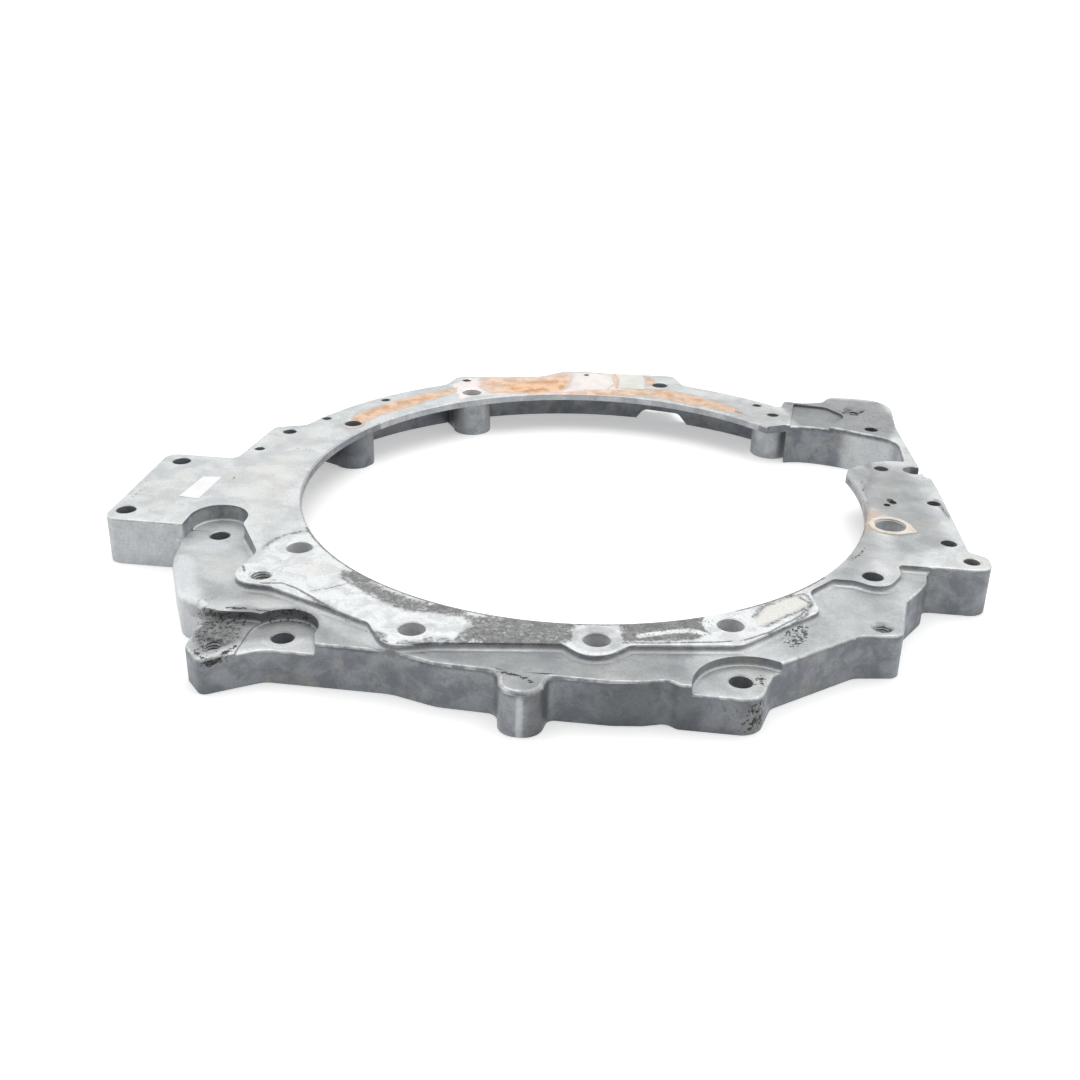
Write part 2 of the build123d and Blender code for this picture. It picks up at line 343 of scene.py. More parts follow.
def ragged_group() -> bpy.types.NodeTree:
    """Group that breaks the soft edge of a painted mask into ragged islands.

    Returns:
        The group, which puts out the broken mask.
    """
    graph, start, end = new_group(
        "ragged_mask",
        {"Place": (VECTOR, None), "Mask": (FLOAT, 0.0), "Scale": (FLOAT, 300.0),
         "Raggedness": (FLOAT, 0.8), "Softness": (FLOAT, 0.12)},
        {"Mask": FLOAT})
    place, mask, scale, rag, soft = (
        start.outputs[name] for name in ("Place", "Mask", "Scale", "Raggedness", "Softness"))
    coarse = graph.noise(place, scale, 5.0, 0.68)
    swing = graph.times(graph.math("SUBTRACT", coarse, 0.5), rag)
    lifted = graph.math("ADD", mask, graph.times(swing, 2.2))
    ranged = graph.between(
        lifted, graph.math("SUBTRACT", 0.5, soft), graph.math("ADD", 0.5, soft))
    inside = graph.math("GREATER_THAN", mask, 0.02)
    graph.feed(end.inputs["Mask"], graph.times(ranged, inside))
    return graph.tree


def grain_group() -> bpy.types.NodeTree:
    """Group with the fine grain of a blasted casting, its waviness, small pits and dark specks.

    Returns:
        The group, which puts out a height, a fleck value and a mask of specks.
    """
    graph, start, end = new_group(
        "cast_grain",
        {"Place": (VECTOR, None), "Grain": (FLOAT, 0.5), "Waves": (FLOAT, 0.3),
         "Pits": (FLOAT, 0.3)},
        {"Height": FLOAT, "Fleck": FLOAT, "Speck": FLOAT})
    place = start.outputs["Place"]
    fine = graph.noise(place, 2600.0, 2.0, 0.6)
    middle = graph.noise(place, 750.0, 3.0, 0.6)
    broad = graph.noise(place, 90.0, 2.0, 0.5)
    cells = graph.add("ShaderNodeTexVoronoi", {"Vector": place, "Scale": 520.0}, feature="F1")
    pit = graph.between(cells.outputs["Distance"], 0.08, 0.26, 1.0, 0.0)
    chance = graph.between(graph.noise(place, 260.0, 2.0), 0.56, 0.66)
    pits = graph.times(graph.times(pit, chance), start.outputs["Pits"])
    grain = graph.times(
        graph.math("ADD", graph.times(fine, 0.45), middle), start.outputs["Grain"])
    waves = graph.times(graph.times(broad, 2.4), start.outputs["Waves"])
    height = graph.math("SUBTRACT", graph.math("ADD", grain, waves), pits)
    graph.feed(end.inputs["Height"], height)
    graph.feed(end.inputs["Fleck"], graph.times(graph.math("ADD", fine, middle), 0.5))
    dots = graph.add("ShaderNodeTexVoronoi", {"Vector": place, "Scale": 230.0}, feature="F1")
    drawn = graph.part(dots.outputs["Color"], "X")
    kept = graph.times(graph.between(drawn, 0.72, 0.76), graph.between(broad, 0.40, 0.60))
    dot = graph.between(dots.outputs["Distance"], 0.06, 0.13, 1.0, 0.0)
    graph.feed(end.inputs["Speck"], graph.times(dot, kept))
    return graph.tree


def mottle_group() -> bpy.types.NodeTree:
    """Group that mixes two colours in cloudy patches, with a third in smaller ones.

    Returns:
        The group, which puts out the colour and the clouds' mask.
    """
    graph, start, end = new_group(
        "mottle",
        {"Place": (VECTOR, None), "Dark": (COLOUR, None), "Light": (COLOUR, None),
         "Patch": (COLOUR, None), "Scale": (FLOAT, 40.0), "Patches": (FLOAT, 0.4)},
        {"Color": COLOUR, "Cloud": FLOAT})
    place, dark, light, third, scale, patches = (
        start.outputs[name] for name in ("Place", "Dark", "Light", "Patch", "Scale", "Patches"))
    spread = graph.between(graph.noise(place, scale, 5.0, 0.62, 0.4), 0.36, 0.64)
    colour = graph.mix(spread, dark, light)
    blot = graph.noise(place, graph.times(scale, 0.55), 4.0, 0.6, 0.8)
    chosen = graph.times(graph.between(blot, 0.52, 0.66), patches)
    graph.feed(end.inputs["Color"], graph.mix(chosen, colour, third))
    graph.feed(end.inputs["Cloud"], spread)
    return graph.tree


@dataclass
class Groups:
    """The shader node groups that several materials share."""

    ragged: bpy.types.NodeTree = field(default_factory=ragged_group)
    grain: bpy.types.NodeTree = field(default_factory=grain_group)
    mottle: bpy.types.NodeTree = field(default_factory=mottle_group)


@dataclass(frozen=True)
class Layer:
    """How one painted layer is drawn, painted light and shade among them: its attribute, and the
    size and look of its broken edge.
    """

    name: str
    scale: float
    rag: float
    soft: float
    strength: float = 1.0

    def mask(self, graph: Graph, groups: Groups, place: Socket) -> Socket:
        """Mask of the stain with its edge broken up.

        Args:
            graph: the material's graph.
            groups: the shared shader node groups.
            place: the coordinate's output socket.

        Returns:
            The mask's output socket.
        """
        broken = graph.group(groups.ragged, {
            "Place": place, "Mask": graph.attribute(self.name), "Scale": self.scale,
            "Raggedness": self.rag, "Softness": self.soft}).outputs["Mask"]
        return graph.times(broken, self.strength) if self.strength < 1.0 else broken


@dataclass(frozen=True)
class CastFinish:
    """Colours of the blasted casting, its scraped joint face and what is stuck to it, with painted
    light and shade laid on them.
    """

    # Painted shade and reflection: walls and underside are darker and bluer than the levels of the
    # same metal.
    shaded_wall_dark: Colour = (0.19, 0.205, 0.228)
    shaded_wall_light: Colour = (0.285, 0.303, 0.325)
    shaded_wall_warm: Colour = (0.33, 0.325, 0.295)
    top_dark: Colour = (0.47, 0.49, 0.50)
    top_light: Colour = (0.61, 0.63, 0.63)
    top_warm: Colour = (0.60, 0.59, 0.55)
    apron_dark: Colour = (0.40, 0.42, 0.43)
    apron_light: Colour = (0.52, 0.54, 0.54)
    under: Colour = (0.16, 0.175, 0.20)
    scraped: Colour = (0.68, 0.70, 0.705)
    scraped_dull: Colour = (0.53, 0.545, 0.55)
    residue_film: Colour = (0.20, 0.20, 0.205)
    residue_dark: Colour = (0.11, 0.11, 0.11)
    residue_light: Colour = (0.22, 0.22, 0.215)
    copper_light: Colour = (0.78, 0.50, 0.30)
    copper_dark: Colour = (0.52, 0.28, 0.13)
    copper_rim: Colour = (0.40, 0.19, 0.08)
    pale: Colour = (0.80, 0.74, 0.715)
    cream: Colour = (0.63, 0.622, 0.585)
    grime: Colour = (0.035, 0.033, 0.031)
    edge: Colour = (0.66, 0.67, 0.67)
    # Painted light: the lighter colour of lit walls and bosses, and of the hole walls.
    bright: Colour = (0.62, 0.645, 0.66)
    painted_bore_light: Colour = (0.74, 0.75, 0.76)
    # Near black of the dark layer: painted shade, and dirt in the corner pocket.
    shade_and_dirt: Colour = (0.07, 0.075, 0.08)
    bright_layer: Layer = Layer("bright", 130.0, 0.35, 0.45, 0.88)
    scraped_layer: Layer = Layer("scraped", 150.0, 0.55, 0.20)
    shade_and_dirt_layer: Layer = Layer("dark", 70.0, 0.30, 0.50, 0.60)
    pale_layer: Layer = Layer("pale", 120.0, 0.40, 0.30, 0.90)
    copper_layer: Layer = Layer("copper", 130.0, 0.50, 0.28)
    film_layer: Layer = Layer("residue", 140.0, 0.40, 0.40, 0.80)
    crust_layer: Layer = Layer("residue", 420.0, 0.62, 0.10)
    grime_layer: Layer = Layer("grime", 520.0, 0.85, 0.09)
    cream_share: float = 0.85
    crust_share: float = 0.72
    speck_share: float = 0.65
    metal: float = 0.55

    def ground(self, graph: Graph, groups: Groups, place: Socket) -> tuple[Socket, Socket]:
        """Bare colour of the walls, the levels and the underside, with the walls painted darker and
        bluer than the levels and the underside darker still, as painted shade and painted
        reflection.

        Args:
            graph: the material's graph.
            groups: the shared shader node groups.
            place: the coordinate's output socket.

        Returns:
            The colour's output socket, and the one of the walls' clouds.
        """
        walls, tops, aprons = (
            graph.group(groups.mottle, {
                "Place": place, "Dark": dark, "Light": light, "Patch": third, "Scale": scale,
                "Patches": patches})
            for dark, light, third, scale, patches in (
                (self.shaded_wall_dark, self.shaded_wall_light, self.shaded_wall_warm, 85.0, 0.6),
                (self.top_dark, self.top_light, self.top_warm, 60.0, 0.45),
                (self.apron_dark, self.apron_light, self.top_warm, 38.0, 0.25)))
        facing = graph.part(graph.add("ShaderNodeNewGeometry").outputs["True Normal"], "Z")
        on_face = graph.between(graph.part(place, "Z"), -0.0009, -0.0004)
        level = graph.mix(on_face, aprons.outputs["Color"], tops.outputs["Color"])
        # Painted shade: upright faces take the darker wall colours, downward faces the dark
        # underside colour.
        colour = graph.mix(graph.between(facing, 0.45, 0.80), walls.outputs["Color"], level)
        colour = graph.mix(graph.between(facing, -0.45, -0.80), colour, self.under)
        return colour, walls.outputs["Cloud"]

    def rust(self, graph: Graph, place: Socket, copper: Socket) -> Socket:
        """Colour of the copper sealant: lighter and darker blots with a dark rim.

        Args:
            graph: the material's graph.
            place: the coordinate's output socket.
            copper: the copper mask.

        Returns:
            The colour's output socket.
        """
        blots = graph.between(graph.noise(place, 95.0, 4.0, 0.6), 0.40, 0.62)
        rust = graph.mix(blots, self.copper_light, self.copper_dark)
        rim = graph.times(graph.times(copper, graph.rest(copper)), 3.4)
        return graph.mix(rim, rust, self.copper_rim)

    def material(self, groups: Groups) -> bpy.types.Material:
        """Builds the casting's material.

        Args:
            groups: the shared shader node groups.

        Returns:
            The material.
        """
        made, graph, shader = new_material("cast_aluminium_dressed")
        place = graph.add("ShaderNodeTexCoord").outputs["Object"]
        colour, cloud = self.ground(graph, groups, place)

        # Painted light: lit walls and bosses turn lighter, and the walls of the large bores almost
        # white.
        painted_bore_light = graph.between(graph.attribute("bright"), 0.96, 0.99)
        painted_light_colour = graph.mix(painted_bore_light, self.bright, self.painted_bore_light)
        colour = graph.mix(self.bright_layer.mask(graph, groups, place), colour, painted_light_colour)
        dulled = graph.between(graph.noise(place, 85.0, 4.0, 0.65, 0.6), 0.38, 0.58)
        bare = graph.mix(dulled, self.scraped_dull, self.scraped)
        colour = graph.mix(self.scraped_layer.mask(graph, groups, place), colour, bare)
        cream = graph.times(graph.attribute("cream"), self.cream_share)
        colour = graph.mix(cream, colour, self.cream)
        # Painted shade, with dirt in the corner pocket: the dark layer darkens towards near black.
        colour = graph.mix(self.shade_and_dirt_layer.mask(graph, groups, place), colour, self.shade_and_dirt)
        colour = graph.mix(self.pale_layer.mask(graph, groups, place), colour, self.pale)
        copper = self.copper_layer.mask(graph, groups, place)
        thick = graph.between(graph.attribute("copper"), 0.78, 0.96, 0.55, 0.95)
        colour = graph.mix(graph.times(copper, thick), colour, self.rust(graph, place, copper))
        colour = graph.mix(self.film_layer.mask(graph, groups, place), colour, self.residue_film)
        residue = self.crust_layer.mask(graph, groups, place)
        lumps = graph.between(graph.noise(place, 240.0, 3.0, 0.7), 0.40, 0.60)
        stuck = graph.mix(lumps, self.residue_dark, self.residue_light)
        colour = graph.mix(graph.times(residue, self.crust_share), colour, stuck)
        grime = self.grime_layer.mask(graph, groups, place)
        colour = graph.mix(grime, colour, self.grime)
        rubbed = graph.between(graph.noise(place, 160.0, 3.0, 0.6), 0.42, 0.62, 0.10, 0.60)
        colour = graph.mix(graph.times(graph.attribute("edge"), rubbed), colour, self.edge)

        grain = graph.group(
            groups.grain, {"Place": place, "Grain": 0.55, "Waves": 0.35, "Pits": 0.5})
        specks = graph.times(grain.outputs["Speck"], self.speck_share)
        colour = graph.mix(specks, colour, self.residue_dark)
        fleck = graph.between(grain.outputs["Fleck"], 0.35, 0.65, 0.88, 1.10)
        flecks = graph.add("ShaderNodeCombineXYZ", {0: fleck, 1: fleck, 2: fleck}).outputs[0]
        colour = graph.add(
            "ShaderNodeVectorMath", {0: colour, 1: flecks}, operation="MULTIPLY").outputs[0]
        graph.feed(shader.inputs["Base Color"], colour)

        dirty = graph.math("MAXIMUM", grime, residue)
        rough = graph.between(cloud, 0.0, 1.0, 0.50, 0.40)
        rough = graph.math("ADD", rough, graph.times(dirty, 0.30), clamp=True)
        graph.feed(shader.inputs["Roughness"], rough)
        # Dirt and the painted light in the large bores both take the metal share away.
        metal = graph.times(graph.rest(graph.math("MAXIMUM", dirty, painted_bore_light)), self.metal)
        graph.feed(shader.inputs["Metallic"], metal)
        lifted = graph.math("ADD", grain.outputs["Height"], graph.times(residue, 0.8))
        graph.bump(shader, lifted, 0.55, 0.00022)
        return made


@dataclass(frozen=True)
class PlainFinish:
    """Finish of a small piece: one colour with cloudy changes and a fine grain."""

    name: str
    colour: Colour
    second: Colour
    scale: float
    roughness: float
    metallic: float
    bump: float = 0.00008

    def material(self, groups: Groups) -> bpy.types.Material:
        """Builds the material.

        Args:
            groups: the shared shader node groups.

        Returns:
            The material.
        """
        made, graph, shader = new_material(self.name)
        place = graph.add("ShaderNodeTexCoord").outputs["Object"]
        cloud = graph.group(groups.mottle, {
            "Place": place, "Dark": self.second, "Light": self.colour, "Patch": self.colour,
            "Scale": self.scale, "Patches": 0.5})
        graph.feed(shader.inputs["Base Color"], cloud.outputs["Color"])
        shader.inputs["Roughness"].default_value = self.roughness
        shader.inputs["Metallic"].default_value = self.metallic
        grain = graph.group(
            groups.grain, {"Place": place, "Grain": 0.8, "Waves": 0.2, "Pits": 0.2})
        graph.bump(shader, grain.outputs["Height"], 0.5, self.bump)
        return made


class StainLightAndShade(Enum):
    """Kinds of mark that are painted on the casting, painted light and shade among them."""

    SCRAPED = "scraped"
    RESIDUE = "residue"
    COPPER = "copper"
    PALE = "pale"
    CREAM = "cream"
    GRIME = "grime"
    # Painted shade, with dirt in the corner pocket.
    DARK = "dark"
    # Painted light, with bright rings round three tapped holes.
    BRIGHT = "bright"


class Shape(Enum):
    """How a mark's points are read."""

    LINE = 1
    PATCH = 2


PATCHES = {
    StainLightAndShade.SCRAPED: (
        (1.0, 3.0, FACE, (-138, -82, -154, -98.7, -158.4, -109.4, -156, -126, -170, -137, -170,
         -165, -60, -215, 60, -215, 135, -150, 132, -122, 124, -108, 110, -96, 0, -140, -120, -85)),
    ),
    StainLightAndShade.RESIDUE: (
        (0.62, 3.5, FACE, (-112.8, -127.7, -103.5, -130.6, -84.7, -145.2, -69.1, -153.2, -54.0,
         -157.9, -39.3, -161.6, -37.1, -168.3, -45.9, -168.8, -57.1, -166.7, -69.3, -167.7, -83.7,
         -159.9, -97.5, -149.5, -110.8, -138.6)),
        (0.6, 3.5, FACE, (-47.0, -162.9, -32.9, -164.6, -13.1, -165.2, 6.2, -163.9, 15.0, -164.4,
         14.9, -181.8, 8.9, -186.5, -9.4, -190.5, -28.2, -190.9, -41.6, -190.3, -40.3, -182.5,
         -35.9, -175.0)),
        (0.56, 3.0, FACE, (-121.8, -158.0, -110.5, -163.4, -97.7, -173.5, -83.8, -183.1, -72.4,
         -189.8, -71.6, -197.2, -83.1, -193.5, -97.2, -184.4, -112.3, -173.0)),
        (0.66, 3.0, FACE, (33.9, -159.3, 44.2, -153.5, 56.2, -150.5, 73.1, -145.6, 81.9, -150.2,
         81.1, -164.0, 69.0, -172.7, 50.4, -176.8, 36.4, -179.1)),
        (0.5, 2.5, FACE, (-67.4, -194.7, -57.6, -187.3, -40.2, -188.2, -39.1, -193.6, -55.8, -195.5,
         -65.5, -199.0)),
        (0.5, 5.0, (-12.0, -4.0), (-182.0, -165.1, -170.1, -169.3, -153.9, -165.5, -149.0, -181.0,
         -141.5, -192.4, -152.1, -205.4, -159.5, -210.4, -172.2, -187.8)),
    ),
    StainLightAndShade.CREAM: (
        (1.0, 1.2, FACE, (97.3, -149.6, 103.4, -134.3, 115.1, -121.8, 125.8, -115.7, 127.4, -124.0,
         122.0, -133.2, 111.9, -143.1, 104.0, -152.4)),
        (0.6, 4.0, FACE, (-136.5, -123.6, -119.8, -121.9, -114.0, -134.7, -127.4, -139.3)),
        (0.5, 12.0, FACE, (-202.7, -23.9, -192.1, 19.9, -175.1, 6.4, -170.7, -50.7, -171.0, -78.4,
         -183.2, -69.7)),
    ),
    StainLightAndShade.COPPER: (
        (0.88, 3.0, FACE, (-164.0, 82.6, -162.8, 96.4, -149.0, 119.0, -129.3, 141.6, -105.9, 161.2,
         -104.6, 150.6, -113.9, 136.1, -130.4, 114.4, -146.3, 93.6, -154.3, 76.8)),
        (0.85, 5.0, FACE, (-94.6, 188.1, -79.9, 188.6, -51.4, 196.4, -36.2, 206.4, -27.2, 205.8,
         -25.7, 178.8, -35.5, 163.8, -60.1, 154.8, -81.3, 152.9, -91.5, 161.8)),
        (1.0, 4.0, FACE, (-77.4, 173.3, -44.4, 188.6, -28.6, 191.7, -29.0, 169.3, -46.2, 157.4,
         -70.8, 154.9)),
        (0.85, 3.0, FACE, (-43.0, 160.2, -19.2, 171.2, 23.1, 181.5, 40.9, 184.9, 66.2, 174.6, 90.8,
         156.2, 95.5, 143.0, 84.0, 144.8, 59.7, 154.4, 31.2, 165.8, -4.1, 163.3, -31.7, 155.9)),
        (0.85, 1.8, FACE, (23.5, 210.9, 31.7, 210.2, 34.2, 190.3, 27.0, 188.9)),
        (0.6, 3.0, FACE, (165.6, -5.1, 178.3, -2.8, 170.6, -23.5, 163.7, -37.9, 161.6, -25.1)),
    ),
    StainLightAndShade.PALE: (
        (0.62, 4.0, FACE, (-105.9, 176.8, -94.6, 188.1, -37.7, 206.1, 20.7, 219.7, 27.4, 207.1,
         26.1, 179.9, -4.3, 165.4, -46.2, 157.4, -87.1, 145.4, -100.3, 147.1, -106.9, 158.8)),
        (1.0, 2.0, FACE, (-21.2, 204.6, -11.4, 211.2, 0.7, 199.6, 0.1, 181.5, -10.7, 172.8, -21.5,
         179.6)),
        (0.9, 3.0, FACE, (-111.3, 166.8, -101.0, 182.3, -90.2, 179.8, -86.5, 149.7, -99.8, 136.7)),
    ),
    StainLightAndShade.GRIME: (
        (0.42, 3.5, (-12.0, -4.0), (-182.0, -165.1, -170.1, -169.3, -153.9, -165.5, -124.6, -160.6,
         -113.8, -165.9, -110.9, -179.5, -123.3, -171.6, -140.9, -170.5, -146.0, -179.4, -143.7,
         -194.6, -152.8, -203.7, -159.5, -210.4, -172.2, -187.8)),
        (0.36, 4.0, (-5.0, -2.0), (-186.5, -160.3, -172.2, -170.5, -160.4, -174.7, -164.0, -181.4,
         -177.2, -173.5)),
        (0.2, 3.0, FACE, (-132.4, -133.3, -127.6, -120.9, -116.0, -135.1, -121.2, -142.7)),
        (0.46, 2.5, (-4.5, -2.5), (114.1, -146.5, 122.1, -139.1, 127.6, -144.2, 124.9, -160.1,
         117.1, -167.1, 111.7, -160.5)),
        (0.5, 2.0, (-9.5, -4.0), (99.9, -186.0, 103.2, -180.2, 105.7, -188.6, 101.9, -199.5, 98.3,
         -198.4)),
        (0.27, 4.0, (-3.0, 1.0), (122.3, 172.5, 150.6, 182.1, 171.8, 186.1, 192.2, 181.6, 198.9,
         154.4, 193.3, 126.5, 173.6, 126.6, 148.9, 153.0, 128.5, 153.2)),
    ),
    # Darker patches: painted shade on the front apron, the levels at the right and the lugs, and in
    # the corner pocket, which also holds dirt round the tapped hole.
    StainLightAndShade.DARK: (
        (0.78, 4.0, (-12.0, -4.0), (-182.0, -165.1, -170.1, -169.3, -153.9, -165.5, -124.6, -160.6,
         -113.3, -167.9, -109.8, -183.2, -141.5, -192.4, -152.1, -205.4, -159.5, -210.4, -172.2,
         -187.8)),
        (0.4, 5.0, (-6.0, -1.5), (-183.4, -141.0, -149.6, -146.3, -127.5, -150.2, -117.0, -161.1,
         -146.7, -170.3, -171.3, -166.2)),
        (0.72, 6.0, (-6.0, -1.5), (-121.4, -170.2, -96.9, -185.9, -74.1, -199.1, -51.6, -193.4, 9.0,
         -187.0, 74.0, -174.3, 69.6, -186.0, 74.7, -209.5, 48.0, -210.5, 5.7, -215.8, 5.2, -229.2,
         -12.1, -232.0, -19.2, -216.5, -52.4, -211.6, -75.6, -212.0, -101.6, -203.6)),
        (0.35, 5.0, (-11.0, -6.0), (69.6, -176.7, 83.6, -165.0, 107.1, -170.4, 108.7, -196.7, 92.9,
         -207.7, 74.9, -202.3)),
        (0.38, 8.0, (-6.0, -1.5), (111.7, -158.5, 132.6, -125.0, 155.4, -88.4, 175.0, -96.3, 169.1,
         -148.9, 143.6, -171.9, 115.4, -185.5)),
        (0.66, 8.0, FACE, (145.8, -73.5, 155.3, -34.2, 167.8, -18.6, 169.0, -51.1, 160.1, -88.6,
         148.8, -101.9, 133.1, -110.1)),
        (0.66, 8.0, FACE, (158.5, 57.3, 174.6, 66.8, 196.2, 67.4, 203.6, 30.9, 206.5, -11.7, 207.2,
         -44.4, 177.8, -68.0, 173.0, -10.7, 164.6, 9.1, 160.0, 38.4)),
        (0.85, 4.0, (-4.0, 1.0), (118.8, 171.9, 150.9, 186.4, 192.7, 185.9, 201.5, 141.3, 191.7,
         111.5, 166.2, 115.9, 134.2, 128.7)),
        (0.4, 6.0, FACE, (52.0, 174.0, 108.3, 169.9, 134.6, 138.5, 113.8, 115.5, 80.5, 144.1)),
    ),
}
"""Marks that fill an outline: strength, softness, heights, and its x and y in turn, in mm."""
